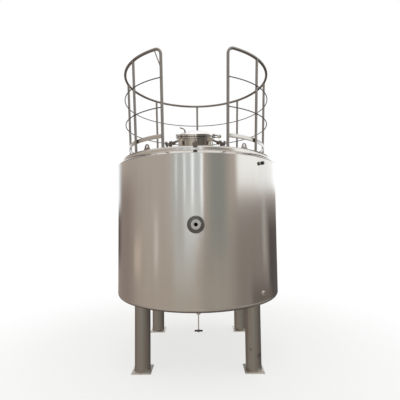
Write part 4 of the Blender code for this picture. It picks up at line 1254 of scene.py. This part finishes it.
@dataclass
class NotchedRim:
    """The outline that the neck's flange and the lid share: a circle with six open slots.

    Every line round it, and each plain circle drawn with it, has the same number of points, so
    that a row of one is joined to a row of the other.
    """

    radius: float = 0.219
    slot_floor: float = 0.200
    slot_half: float = 0.0125
    slots: int = 6
    corner: float = 0.0035

    def sector(self) -> tuple[Array, Array]:
        """Return half a sector from a slot's middle, and the azimuths of a circle beside it."""
        lead = math.asin(self.slot_half / self.radius)
        arc_turn = np.linspace(math.degrees(lead) + 1.2, 180 / self.slots, 25)
        arc = spokes(np.radians(arc_turn), self.radius)
        slot = rounded([(self.slot_floor, 0.0), (self.slot_floor, self.slot_half),
                        (self.radius * math.cos(lead), self.slot_half), arc[0]],
                       [self.corner, self.corner * 0.5], 4)[:-1]
        reach = np.concatenate((np.linspace(0, 3.4, 4), np.linspace(3.6, 4.2, len(slot) - 4)))
        return np.concatenate((slot, arc)), np.concatenate((reach, arc_turn))

    def whole(self) -> tuple[Array, Array]:
        """Return the closed outline and the azimuths of the circle points that go with it."""
        half, reach = self.sector()
        out, side = np.concatenate((half[:0:-1] * np.array((1.0, -1.0)), half[:-1])).T
        starts = (np.arange(self.slots) * 360 / self.slots)[:, None]
        angle = np.radians(starts)
        outline = stacked(out * np.sin(angle) + side * np.cos(angle),
                          -out * np.cos(angle) + side * np.sin(angle)).reshape(-1, 2)
        azimuths = (starts + np.concatenate((-reach[:0:-1], reach[:-1]))).ravel()
        return (np.concatenate((outline, outline[:1])),
                np.concatenate((azimuths, azimuths[:1] + 360)))

    def circle_rows(self, profile: Array) -> Array:
        """Return rows of plain circles, one for each (radius, height) of a profile."""
        return turned(profile, self.whole()[1])

    def edge_rows(self, low: float, high: float, edge: float, steps: int = 3) -> Array:
        """Return the rows over the notched edge from low to high, with rounded arrises."""
        outline = self.whole()[0]
        rows = plate_rows(outline, (high - low) / 2, edge, outline, steps)[1:-1]
        return rows[::-1] + UP * (low + high) / 2


@dataclass
class SwingBolts:
    """Six swing bolts round the manway, each with an eye, a threaded rod, a clamp and a knob.

    The root, clamp, nut and knob are each given by their start and end along the rod and radius.
    """

    head: Head
    azimuths: tuple[float, ...] = (0.0, 60.0, 120.0, 180.0, 240.0, 300.0)
    droops: tuple[float, ...] = (15.8, 15.0, 20.5, 12.5, 20.5, 15.0)
    pivot_radius: float = 0.216
    pivot_up: float = 0.056
    pin_radius: float = 0.005
    pin_clearance: float = 0.0006
    eye_radius: float = 0.0125
    eye_half: float = 0.007
    rod: float = 0.007
    thread_depth: float = 0.0008
    thread_pitch: float = 0.002
    root: tuple[float, float, float] = (0.0095, 0.022, 0.007)
    clamp: tuple[float, float, float] = (0.074, 0.102, 0.0205)
    nut: tuple[float, float, float] = (0.124, 0.132, 0.0125)
    knob: tuple[float, float, float] = (0.131, 0.151, 0.029)
    flutes: int = 9
    flute_depth: float = 0.0028
    ear_thickness: float = 0.005
    ear_height: float = 0.024
    ear_gap: float = 0.001
    ear_tip: float = 0.011
    pin_proud: float = 0.003

    def pivot(self, out: Array, axes: Array) -> Place:
        """Return a frame at the pivot of the bolt that stands in a direction."""
        return self.head.manway().at(out * self.pivot_radius + UP * self.pivot_up, axes)

    def place(self, azimuth: float, droop: float) -> Place:
        """Return a bolt's frame: X along the drooping rod, Y along its pin."""
        (out, pin), fall = wall_axes(azimuth), math.radians(droop)
        along = out * math.cos(fall) - UP * math.sin(fall)
        return self.pivot(out, stacked(along, pin, np.cross(along, pin)))

    def ears(self) -> list[Array]:
        """Return the pairs of ears that hold the bolts, rounded at their outer ends, and the pins."""
        made, up = [], self.pivot_up
        root, tip = self.head.neck_radius - 0.002, self.pivot_radius + self.ear_tip
        low, high = up - self.ear_height / 2, up + self.ear_height / 2
        outline = rounded([(root, up), (root, low), (tip, low), (tip, high), (root, high), (root, up)],
                          [0.0008, 0.0085, 0.0085, 0.0008], 6)
        centre = np.array((self.pivot_radius - 0.008, up))
        plate = plate_rows(outline, self.ear_thickness / 2, 0.0008, centre, 2)
        inner = self.eye_half + self.ear_gap + self.ear_thickness / 2
        reach = self.eye_half + self.ear_gap + self.ear_thickness + self.pin_proud
        for azimuth in self.azimuths:
            out, side = wall_axes(azimuth)
            axes = stacked(out, UP, side)
            made += [self.head.manway().at(side * offset, axes)(plate) for offset in (-inner, inner)]
            made.append(self.pivot(out, axes)(round_pin(self.pin_radius, reach, 0.0012, 24)))
        return made

    def shaft(self, profile: Array, sides: int, flutes: int) -> Array:
        """Return a patch turned about X; flutes press a wide outline in, more at the rim."""
        (along, radius), turn = np.split(profile, 2, axis=1), turns(sides)
        rim = np.clip(radius / self.knob[2], 0, 1) ** 6
        press = self.flute_depth * rim * (0.5 - 0.5 * np.cos(flutes * turn)) ** 1.5
        return about_x(along, radius - press, turn)

    def thread(self, start: float, end: float) -> list[Array]:
        """Return a threaded rod: radius = rod - depth (1 + cos(tau x / pitch - a)) / 2."""
        along = np.linspace(start, end, int((end - start) / self.thread_pitch * 6) + 1)[:, None]
        wave = 0.5 + 0.5 * np.cos(math.tau * along / self.thread_pitch - turns(18))
        return closed_ends(about_x(along, self.rod - self.thread_depth * wave, turns(18)))

    def bolt(self, name: str, place: Place) -> Piece:
        """Return one bolt: its eye, root, thread, clamp and fluted knob."""
        bore, half = self.pin_radius + self.pin_clearance, self.eye_half
        eye = lathe(ring_section(bore, self.eye_radius, -half, half,
                                 [0.0012, 0.0012, 0.0008, 0.0008], 3), 40)
        start, end, rim = self.knob
        knob = rounded([(start, 0.0), (start, rim - 0.006), (start + 0.004, rim), (end - 0.003, rim),
                        (end, rim - 0.010), (end - 0.001, 0.0)], [0.002, 0.004, 0.004, 0.003])
        made = Piece(name).add([place(eye[..., [0, 2, 1]])])
        for profile, sides, flutes in (
                (bar_profile(*self.root, [0.0005, 0.0008]), 24, 0),
                (bar_profile(*self.clamp, [0.004, 0.003]), 32, 0),
                (bar_profile(*self.nut, [0.001, 0.001]), 6, 0),
                (refined(knob, 0.003), 72, self.flutes)):
            made.add([place(self.shaft(profile, sides, flutes))])
        return made.add([place(patch) for patch in self.thread(0.021, start + 0.002)])

    def build(self, finishes: Finishes) -> None:
        """Make and dress the six bolts."""
        for number, (azimuth, droop) in enumerate(zip(self.azimuths, self.droops), 1):
            piece = self.bolt(f"eye_bolt_{number}", self.place(azimuth, droop))
            piece.place(finishes.bolt, f"swing_bolt_{number}", f"swing_bolt_{number}")


@dataclass
class Manway:
    """The manway: neck and flange, seal, hinged lid with its handle, and the hinge's bracket."""

    head: Head
    bolts: SwingBolts
    rim: NotchedRim = field(default_factory=NotchedRim)
    neck_wall: float = 0.006
    neck_below: float = 0.030
    neck_top: float = 0.094
    flange: float = 0.018
    seal_inner: float = 0.189
    seal_outer: float = 0.198
    seal_thickness: float = 0.004
    lid_thickness: float = 0.026
    lid_skin: float = 0.004
    dome_radius: float = 0.184
    dome_height: float = 0.042
    arris: float = 0.0016
    hinge_x: float = 0.262
    hinge_up: float = 0.096
    barrel: float = 0.021
    barrel_half: float = 0.038
    arm_half: float = 0.018
    pin: float = 0.008
    pin_proud: float = 0.004
    leaf_thickness: float = 0.014
    leaf_gap: float = 0.003
    arm_root: float = 0.015
    knuckle_gap: float = 0.0015
    slot_clearance: float = 0.003
    handle_rod: float = 0.0055
    handle_half: float = 0.052
    handle_x: float = -0.116
    handle_sink: float = 0.00105
    handle_bends: tuple[float, ...] = (0.006, 0.008, 0.012, 0.012, 0.008, 0.006)
    handle_lean: tuple[Point, ...] = ((0.0, 0.0), (-0.004, 0.022), (-0.018, 0.036), (-0.052, 0.046))

    def neck(self) -> Array:
        """Return the neck: up its bore, over its face and notched edge, and down its outside."""
        outer, under = self.head.neck_radius, self.neck_top - self.flange
        inner = outer - self.neck_wall
        inside = rounded([(inner, -self.neck_below), (inner, self.neck_top),
                          (inner + 0.004, self.neck_top)], [0.0015])
        outside = rounded([(outer + 0.005, under), (outer, under), (outer, -self.neck_below),
                           (inner, -self.neck_below)], [0.004, 0.001])
        edge = self.rim.edge_rows(under, self.neck_top, self.arris)[::-1]
        return self.head.manway()(np.concatenate((
            self.rim.circle_rows(refined(inside, 0.02)), edge,
            self.rim.circle_rows(refined(outside, 0.02)))))

    def seal(self) -> Piece:
        """Return the seal: a ring with a rounded square section."""
        low, high = self.neck_top + 0.0003, self.neck_top + self.seal_thickness - 0.0003
        section = ring_section(self.seal_inner, self.seal_outer, low, high, [0.0010] * 4, 4)
        return Piece("lid_seal").add([self.head.manway()(lathe(section, 144))])

    def dome(self, radius: Array | float) -> Array:
        """Return the rise of the lid's dome, a cap of a sphere, at a radius."""
        sphere = (self.dome_radius ** 2 + self.dome_height ** 2) / (2 * self.dome_height)
        return np.sqrt(sphere ** 2 - np.asarray(radius) ** 2) - (sphere - self.dome_height)

    def lid(self) -> Array:
        """Return the lid: under the flange, over the notched edge, up the dome and back inside."""
        low = self.neck_top + self.seal_thickness
        top = low + self.lid_thickness
        radii = self.dome_radius * np.cos(np.linspace(0, math.pi / 2, 25))
        radii[-1] = 0.0
        dome = stacked(radii, top + self.dome(radii))
        blend = rounded([(self.dome_radius + 0.012, top), dome[0], dome[2]], [0.008])
        inside = dome[:0:-1] - np.array((0.0, self.lid_skin))
        foot = np.array([(self.dome_radius - 0.001, low + 0.010), (self.seal_inner, low)])
        over = np.concatenate((blend, dome[3:], inside, foot))
        edge = self.rim.edge_rows(low, top, self.arris * 1.6, 5)
        return self.head.manway()(np.concatenate((self.rim.circle_rows(foot[-1:]), edge,
                                                  self.rim.circle_rows(over))))

    def hinged(self, points: Array, middle: float = 0.0) -> Array:
        """Return points of (X, up, along the pin) from the hinge's axis, in the tank's frame."""
        x, up, along = np.moveaxis(points, -1, 0)
        return self.head.manway()(stacked(x + self.hinge_x, along + middle, up + self.hinge_up))

    def hinge_arm(self) -> Array:
        """Return the lid's arm with its barrel, drawn out to both sides of the middle."""
        low = self.neck_top + self.seal_thickness - self.hinge_up + self.leaf_gap
        root = self.rim.radius - self.hinge_x - self.arm_root
        return self.drawn(low, low + self.leaf_thickness, root, -self.arm_half, self.arm_half)

    def drawn(self, low: float, high: float, root: float, start: float, end: float) -> Array:
        """Return a leaf with a barrel at its end, drawn out along the hinge's axis.

        Args:
            low: the leaf's underside, over the axis.
            high: the leaf's upper side, over the axis.
            root: where the leaf starts, along X from the axis.
            start: where the piece starts along the axis.
            end: where it ends along the axis.

        Returns:
            The patch, in the tank's frame.
        """
        first, last = (math.asin(np.clip(side / self.barrel, -1, 1)) for side in (low, high))
        barrel = spokes(np.linspace(math.pi - last, -math.pi - first, 49), self.barrel)
        leaf = np.array(((root, low), (root, (low + high) / 2), (root, high)))
        outline = np.concatenate((refined(np.concatenate((leaf, barrel[:1])), 0.006), barrel[1:],
                                  refined(np.array((barrel[-1], leaf[0])), 0.006)[1:]))
        centre = np.array((-0.010, np.clip((low + high) / 2, -0.010, 0.010)))
        return self.hinged(plate_rows(outline, (end - start) / 2, 0.0010, centre, 2),
                           (start + end) / 2)

    def bracket(self) -> Piece:
        """Return the neck's leaf with a knuckle at each end, the bar between them and the pin."""
        high = self.neck_top - 0.0006 - self.hinge_up
        low = high - self.leaf_thickness
        root = self.rim.radius + 0.0004 - self.hinge_x
        inner, web = self.arm_half + self.knuckle_gap, self.barrel + self.slot_clearance
        made = Piece("hinge_leaf")
        for start, end in ((-self.barrel_half, -inner), (inner, self.barrel_half)):
            made.add([self.drawn(low, high, root, start, end)])
        corners = np.array(((root, low), (-web, low), (-web, high), (root, high), (root, low)))
        centre = np.array(((root - web) / 2, low + self.leaf_thickness / 2))
        rows = plate_rows(refined(corners, 0.005), inner + 0.001, 0.0005, centre, 1)
        pin = round_pin(self.pin, self.barrel_half + self.pin_proud, 0.0015, 32)
        return made.add([self.hinged(rows)]).add([self.hinged(pin)])

    def handle(self) -> Piece:
        """Return the lid's handle: a bent rod with its feet on the dome."""
        top = self.neck_top + self.seal_thickness + self.lid_thickness
        foot = math.hypot(self.handle_x, self.handle_half) - self.handle_rod
        seat = top + float(self.dome(foot)) - self.handle_sink
        side = [(self.handle_x + lean, self.handle_half, seat + rise) for lean, rise in self.handle_lean]
        corners = side + [(x, -y, z) for x, y, z in reversed(side)]
        path = self.head.manway()(refined(rounded(corners, self.handle_bends, 8), 0.006))
        return Piece("lid_grip").add(rod(path, self.handle_rod, 20, np.array((1.0, 0.3, 0.2))))

    def weld(self) -> Piece:
        """Return the bead round the neck's foot on the head."""
        turn = turns(360)
        ring = self.head.neck_foot(turn, self.head.neck_radius + 0.0015) + UP * 0.001
        return Piece("neck_weld").add(bead(ring, 0.0048, level_spokes(turn), pitch=0.006))

    def build(self, finishes: Finishes) -> None:
        """Make and dress the manway's pieces."""
        neck = Piece("neck_flange").add([self.neck()])
        for patch in self.bolts.ears():
            neck.add([patch])
        neck.place(finishes.neck, TANK, "manway_neck")
        self.seal().place(finishes.rubber, TANK, "manway_gasket")
        lid = Piece("domed_lid").add([self.lid()]).add([self.hinge_arm()])
        lid.place(finishes.lid, "lid", "manway_lid")
        self.handle().place(finishes.bolt, "lid", "lid_handle")
        self.bracket().place(finishes.polished, TANK, "hinge_bracket")
        self.weld().place(finishes.weld, TANK, slot="manway_neck")


@dataclass
class Ports:
    """The fittings in the wall: the round front port, the capped stub and the plugged boss."""

    shell: Shell
    back: float = INNER - OUTER - 0.020
    ring_proud: float = 0.022
    step: float = 0.004
    ferrule_radius: float = 0.0503
    ferrule_proud: float = 0.030
    grooves: tuple[Point, ...] = ((0.0405, 0.0370), (0.0300, 0.0260))
    groove_depth: float = 0.0012
    groove_side: float = 0.0005
    bore: float = 0.0186
    cap_radius: float = 0.0195
    cap_length: float = 0.029
    upper_proud: float = 0.040
    lower_proud: float = 0.014
    beads: tuple[float, ...] = (0.003, 0.0012, 0.0012)

    def fitting(self, name: str, port: int, corners: Sequence[Point], radii: Sequence[float],
                sides: int) -> Piece:
        """Return a piece turned from (radius, depth out of the wall) corners.

        Args:
            name: the piece's name.
            port: the number of the port that it stands in.
            corners: the profile's corners.
            radii: one radius for each inner corner.
            sides: the pieces of its turn.

        Returns:
            The piece.
        """
        azimuth, height, _ = self.shell.ports[port]
        radius, depth = np.split(rounded(corners, radii, 4), 2, axis=1)
        points = stacked(radius * np.cos(turns(sides)), radius * np.sin(turns(sides)), depth)
        return Piece(name).add([Place.facing(OUTER, azimuth, height)(points)])

    def front(self, finishes: Finishes) -> None:
        """Make the front port: a ridged ring, dark with a painted reflection, round a pale ferrule with
        fine grooves.
        """
        back, hole, proud, step = self.back, self.ferrule_radius + GAP, self.ring_proud, self.step
        rim = self.shell.ports[0][2]
        corners = [(hole, back), (rim, back), (rim, proud - 2 * step), (rim - step, proud - step),
                   (rim - 0.011, proud - step), (rim - 0.012, proud - step - 0.002),
                   (rim - 0.014, proud - step - 0.002), (rim - 0.015, proud - 0.002),
                   (hole + 0.008, proud), (hole + 0.003, proud), (hole, proud - 0.003), (hole, back)]
        radii = [0.001, 0.003, 0.003, 0.001, 0.0005, 0.0005, 0.002, 0.002, 0.0015, 0.001]
        self.fitting("port_ring", 0, corners, radii, 144).place(finishes.pad, TANK, "front_port_ring")
        face, bore, out = self.ferrule_proud, self.bore, self.ferrule_radius
        floor, slant = face - self.groove_depth, self.groove_side
        grooved = [corner for wide, narrow in self.grooves for corner in (
            (wide, face), (wide - slant, floor), (narrow + slant, floor), (narrow, face))]
        corners = [(bore, back), (out, back), (out, face - 0.003), (out - 0.003, face), *grooved,
                   (bore + 0.003, face), (bore, face - 0.003), (bore, back)]
        radii = [0.001, 0.001, 0.001] + [0.0003] * 8 + [0.001, 0.001]
        ferrule = self.fitting("port_ferrule", 0, corners, radii, 96)
        ferrule.place(finishes.ferrule, TANK, "front_port_ferrule")

    def sides(self, finishes: Finishes) -> None:
        """Make the capped stub high on the right and the plug in its boss low on the right."""
        low, out = self.upper_proud - self.cap_length, self.shell.ports[1][2]
        corners = [(0.0, self.back), (out, self.back), (out, low - GAP), (0.0, low - GAP)]
        stub = self.fitting("stub_pipe", 1, corners, [0.001, 0.0005], 48)
        stub.place(finishes.polished, TANK, "upper_port")
        cap, end = self.cap_radius, self.upper_proud
        corners = [(0.0, low), (cap - 0.002, low), (cap, low + 0.002), (cap, end - 0.004),
                   (cap - 0.004, end), (cap - 0.009, end), (cap - 0.010, end - 0.002),
                   (0.0, end - 0.002)]
        radii = [0.0008, 0.0008, 0.002, 0.002, 0.0004, 0.0004]
        self.fitting("stub_cap", 1, corners, radii, 48).place(finishes.plastic, TANK, "upper_port_cap")
        out, end = self.shell.ports[2][2], self.lower_proud
        corners = [(0.0, self.back), (out, self.back), (out, end - 0.004), (out - 0.004, end),
                   (out - 0.008, end), (out - 0.0085, end - 0.0015), (out - 0.0105, end - 0.0015),
                   (out - 0.011, end), (0.0, end)]
        radii = [0.001, 0.002, 0.002] + [0.0003] * 4
        self.fitting("boss_plug", 2, corners, radii, 64).place(finishes.polished, TANK, "lower_port")

    def welds(self, finishes: Finishes) -> None:
        """Make the beads where the three fittings meet the wall."""
        made = Piece("port_welds")
        for (azimuth, height, radius), size in zip(self.shell.ports, self.beads):
            across, up = spokes(turns(180), radius + size * 0.4).T
            side = np.degrees(math.radians(azimuth) + across / OUTER)
            path = azimuth_points(OUTER + size * 0.1, side, height + up)
            made.add(bead(path, size, azimuth_points(1.0, side, 0.0)))
        made.place(finishes.weld, TANK, slot="front_port_ring")

    def build(self, finishes: Finishes) -> None:
        """Make and dress every fitting in the wall."""
        self.front(finishes)
        self.sides(finishes)
        self.welds(finishes)


@dataclass
class Outlet:
    """The outlet under the body, and the stem that turns in it with its T handle."""

    shell: Shell
    bottom: float = 0.402
    stem: float = 0.0073
    clearance: float = 0.0006
    stem_bottom: float = 0.192
    plug: float = 0.022
    plug_thickness: float = 0.010
    bar_half: float = 0.0525
    bar_radius: float = 0.012
    bar_height: float = 0.197
    socket_radius: float = 0.0125
    socket_below: float = 0.0155
    socket_above: float = 0.0175

    def top(self) -> float:
        """Return the height of the boss's upper end inside the tank."""
        return self.shell.bottom_height(self.shell.outlet) + self.shell.skin + 0.004

    def boss(self) -> Piece:
        """Return the boss: a tube with a stepped collar and a rounded lower end."""
        bore, out = self.stem + self.clearance, self.shell.outlet
        low, top = self.bottom, self.top()
        profile = rounded([(bore, low), (out - 0.010, low), (out - 0.009, low + 0.010),
                           (out, low + 0.012), (out, top), (bore, top), (bore, low)],
                          [0.002, 0.001, 0.002, 0.001, 0.0003])
        return Piece("outlet_tube").add([lathe(refined(profile, 0.02), 72)])

    def spindle(self) -> Piece:
        """Return the stem with the plug at its top."""
        low, seat = self.stem_bottom, self.top() + 0.0003
        top = seat + self.plug_thickness
        profile = rounded([(0.0, low), (self.stem, low), (self.stem, seat), (self.plug, seat),
                           (self.plug, top), (0.0, top)], [0.002, 0.0003, 0.001, 0.002])
        return Piece("outlet_spindle").add([lathe(refined(profile, 0.02), 48)])

    def bar(self) -> Piece:
        """Return the T handle: a grip that swells at its ends and is rounded off there."""
        share = np.linspace(-1, 1, 61)[:, None]
        end = np.sqrt(np.clip(1 - ((np.abs(share) - 0.90) / 0.10).clip(0, 1) ** 2, 0, 1))
        waist = self.bar_radius * (0.86 + 0.14 * np.abs(share) ** 2) * end
        points = about_x(share * self.bar_half, waist, turns(32)) + UP * self.bar_height
        return Piece("turn_handle").add([points])

    def collar(self) -> Piece:
        """Return the steel socket that the stem passes through, at the middle of the handle."""
        bore, out = self.stem + 0.0004, self.socket_radius
        low, high = self.bar_height - self.socket_below, self.bar_height + self.socket_above
        profile = rounded([(bore, low), (out, low), (out, high), (bore, high), (bore, low)],
                          [0.002, 0.002, 0.0004])
        return Piece("handle_socket").add([lathe(profile, 40)])

    def weld(self) -> Piece:
        """Return the bead where the boss leaves the bottom cone."""
        height = self.shell.bottom_height(self.shell.outlet) - 0.0008
        return Piece("outlet_weld").add(ring_bead(self.shell.outlet + 0.0008, height, 0.0030,
                                                  120, 0.004))

    def build(self, finishes: Finishes) -> None:
        """Make and dress the outlet's pieces."""
        self.boss().place(finishes.polished, TANK, "outlet_boss")
        self.spindle().place(finishes.polished, "outlet_plug", "outlet_stem")
        self.bar().place(finishes.plastic, "outlet_plug", "outlet_handle")
        self.collar().place(finishes.bolt, "outlet_plug", slot="outlet_handle")
        self.weld().place(finishes.weld, TANK, slot="outlet_boss")


# Studio and camera

@dataclass(frozen=True)
class Glow:
    """A soft patch of light in the studio's surroundings, between azimuths and elevations."""

    azimuth: Point
    elevation: Point
    colour: Colour
    soft_side: float = 6.0
    soft_up: float = 8.0

    def added(self, graph: Graph, azimuth: Signal, elevation: Signal,
              before: Signal | Colour) -> Signal:
        """Return the light so far with this patch over it."""
        across, upward = (angle.between(low - soft, low) * angle.between(high + soft, high)
                          for angle, (low, high), soft in (
                              (azimuth, self.azimuth, self.soft_side),
                              (elevation, self.elevation, self.soft_up)))
        return graph.mixed(across * upward, before, self.colour)


@dataclass
class Studio:
    """Plain soft surroundings: a white backdrop, a pale floor and broad glows."""

    floor_half: float = 9.0
    floor_fade: Point = (1.4, 3.6)
    floor_light: float = 0.75
    floor_strength: float = 1.05
    floor_tones: tuple[Colour, Colour] = ((0.88, 0.88, 0.87), (0.93, 0.93, 0.92))
    backdrop: Colour = (1.0, 1.0, 1.0)
    level: Colour = (0.62, 0.565, 0.52)
    glows: tuple[Glow, ...] = (
        Glow((-190, 190), (48, 95), (1.15, 1.15, 1.173), 6.0, 22.0),
        Glow((-190, 190), (-95, -14), (0.56, 0.505, 0.45), 6.0, 12.0),
        Glow((10, 64), (-95, -5), (0.49, 0.455, 0.415), 12.0, 6.0),
        Glow((-190, -118), (-95, 3), (0.36, 0.305, 0.28), 48.0, 8.0),
        Glow((-190, -150), (-5, -1.5), (0.13, 0.11, 0.10), 25.0, 5.0),
        Glow((-190, -150), (4, 13), (0.95, 1.0, 1.06), 22.0, 4.0),
        Glow((-92, -84), (-8, -5.5), (0.78, 0.68, 0.60), 6.0, 3.0),
        Glow((-57.5, -55.5), (-7, -2), (0.86, 0.82, 0.78), 4.0, 4.0),
        Glow((-24, -19), (2, 44), (0.66, 0.71, 0.74), 20.0, 8.0),
        Glow((-14, 4), (2, 44), (0.76, 0.83, 0.88), 6.0, 8.0),
        Glow((-26, -8), (-9, 1), (0.67, 0.69, 0.68), 10.0, 6.0),
        Glow((24, 34), (-4, 44), (0.37, 0.39, 0.37), 17.0, 6.0),
        Glow((64, 190), (-95, 1), (0.34, 0.305, 0.285), 28.0, 5.0),
        Glow((105, 107), (-6, 2), (0.50, 0.49, 0.48), 7.0, 4.0),
        Glow((122, 190), (-26, -3), (0.12, 0.11, 0.105), 9.0, 7.0),
        Glow((84, 122), (-20, -13.5), (0.19, 0.165, 0.15), 10.0, 3.0),
        Glow((61, 100), (6.0, 44), (1.40, 1.47, 1.50), 9.0, 1.8),
        Glow((100, 190), (6.5, 13), (1.34, 1.40, 1.46), 9.0, 3.0),
        Glow((112, 190), (20, 44), (0.24, 0.215, 0.195), 14.0, 6.0),
        Glow((-190, -105), (20, 44), (0.26, 0.23, 0.21), 16.0, 6.0),
        Glow((160, 190), (12, 50), (1.0, 1.0, 1.02), 12.0, 4.0),
        Glow((-190, -160), (12, 50), (1.0, 1.0, 1.02), 12.0, 4.0),
        Glow((-95, -40), (20, 44), (0.78, 0.73, 0.68), 14.0, 6.0),
        Glow((-27.4, -26.6), (8, 44), (1.18, 1.26, 1.30), 1.3, 7.0),
        Glow((-16.2, -15.4), (7, 44), (1.45, 1.55, 1.62), 1.4, 7.0),
        Glow((-5.7, -4.3), (3, 44), (1.60, 1.72, 1.80), 1.7, 8.0),
        Glow((-13, 0), (-3, 1), (0.92, 0.98, 1.0), 6.0, 4.0),
        Glow((6.4, 8.0), (5, 44), (1.60, 1.73, 1.85), 1.5, 8.0))

    def floor(self) -> None:
        """Lay the floor: pale near the tank, and clear further out, where the backdrop shows."""
        mesh = bpy.data.meshes.new("studio_floor")
        half = self.floor_half
        corners = [(-half, -half, 0), (half, -half, 0), (half, half, 0), (-half, half, 0)]
        mesh.from_pydata(corners, [], [(0, 1, 2, 3)])
        floor = bpy.data.objects.new("studio_floor", mesh)
        bpy.context.scene.collection.objects.link(floor)
        floor.visible_glossy = False
        made = bpy.data.materials.new("pale_floor")
        graph = Graph(made)
        at = graph.node("ShaderNodeTexCoord", None, None, "Object")
        far = graph.vector("LENGTH", "Value", at)
        pale = graph.mixed(graph.noise(at, 40.0, 3.0), *self.floor_tones)
        matt = graph.node("ShaderNodeBsdfDiffuse", None, {"Color": pale})
        lit = graph.node("ShaderNodeEmission", None, {"Color": pale, "Strength": self.floor_strength})
        solid = graph.node("ShaderNodeMixShader", None, {0: self.floor_light, 1: matt, 2: lit})
        clear = graph.node("ShaderNodeBsdfTransparent")
        surface = graph.node("ShaderNodeMixShader", None,
                             {0: far.between(*self.floor_fade), 1: solid, 2: clear})
        graph.node("ShaderNodeOutputMaterial", None, {"Surface": surface})
        mesh.materials.append(made)

    def surroundings(self) -> None:
        """Light the scene from all round, with a plain white backdrop for the eye."""
        world = bpy.data.worlds.new("studio")
        bpy.context.scene.world = world
        graph = Graph(world)
        towards = graph.node("ShaderNodeTexCoord", None, None, "Generated")
        x, y, z = (graph.node("ShaderNodeSeparateXYZ", None, {0: towards}, axis) for axis in range(3))
        azimuth = x.maths("ARCTAN2", x, 0.0 - y) * math.degrees(1)
        elevation = z.maths("ARCSINE", z) * math.degrees(1)
        light = self.level
        for glow in self.glows:
            light = glow.added(graph, azimuth, elevation, light)
        lit = graph.node("ShaderNodeBackground", None, {"Color": light, "Strength": 1.0})
        plain = graph.node("ShaderNodeBackground", None, {"Color": self.backdrop, "Strength": 1.0})
        seen = graph.node("ShaderNodeLightPath", None, None, "Is Camera Ray")
        surface = graph.node("ShaderNodeMixShader", None, {0: seen, 1: lit, 2: plain})
        graph.node("ShaderNodeOutputWorld", None, {"Surface": surface})

    def build(self) -> None:
        """Lay the floor and light the scene."""
        self.floor()
        self.surroundings()
        bpy.context.scene.view_settings.view_transform = "Standard"


@dataclass(frozen=True)
class PhotoCamera:
    """The camera at the photograph's viewing angle, from a fit of its edges to real sizes."""

    place: tuple[float, float, float] = (0.065, -4.0263, 1.6326)
    yaw: float = -0.0071
    pitch: float = 0.0574
    roll: float = -0.0113
    focal_pixels: float = 309.29
    image_pixels: float = 400.0
    sensor: float = 36.0

    def build(self) -> None:
        """Make the camera and give it to the scene."""
        data = bpy.data.cameras.new("photo_camera")
        data.sensor_width = self.sensor
        data.lens = self.focal_pixels / self.image_pixels * self.sensor
        camera = bpy.data.objects.new("photo_camera", data)
        bpy.context.scene.collection.objects.link(camera)
        ahead = Vector((math.sin(self.yaw) * math.cos(self.pitch),
                        math.cos(self.yaw) * math.cos(self.pitch), math.sin(self.pitch)))
        level = Vector((math.cos(self.yaw), -math.sin(self.yaw), 0.0))
        upright = level.cross(ahead)
        right = math.cos(self.roll) * level + math.sin(self.roll) * upright
        up = -math.sin(self.roll) * level + math.cos(self.roll) * upright
        turn = Matrix((right, up, -ahead)).transposed().to_4x4()
        camera.matrix_world = Matrix.Translation(self.place) @ turn
        bpy.context.scene.camera = camera


def main() -> None:
    """Build the tank's sub-assemblies in order."""
    logging.basicConfig(level=logging.INFO, format="%(name)s %(message)s")
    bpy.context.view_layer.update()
    shell, head = Shell(), Head()
    bolts = SwingBolts(head)
    finishes = Finishes(head.manway())
    for part in (shell, head, Legs(shell), GuardRail(head), Lugs(head), Manway(head, bolts), bolts,
                 Ports(shell), Outlet(shell)):
        part.build(finishes)
    Studio().build()
    PhotoCamera().build()


if __name__ == "__main__":
    main()
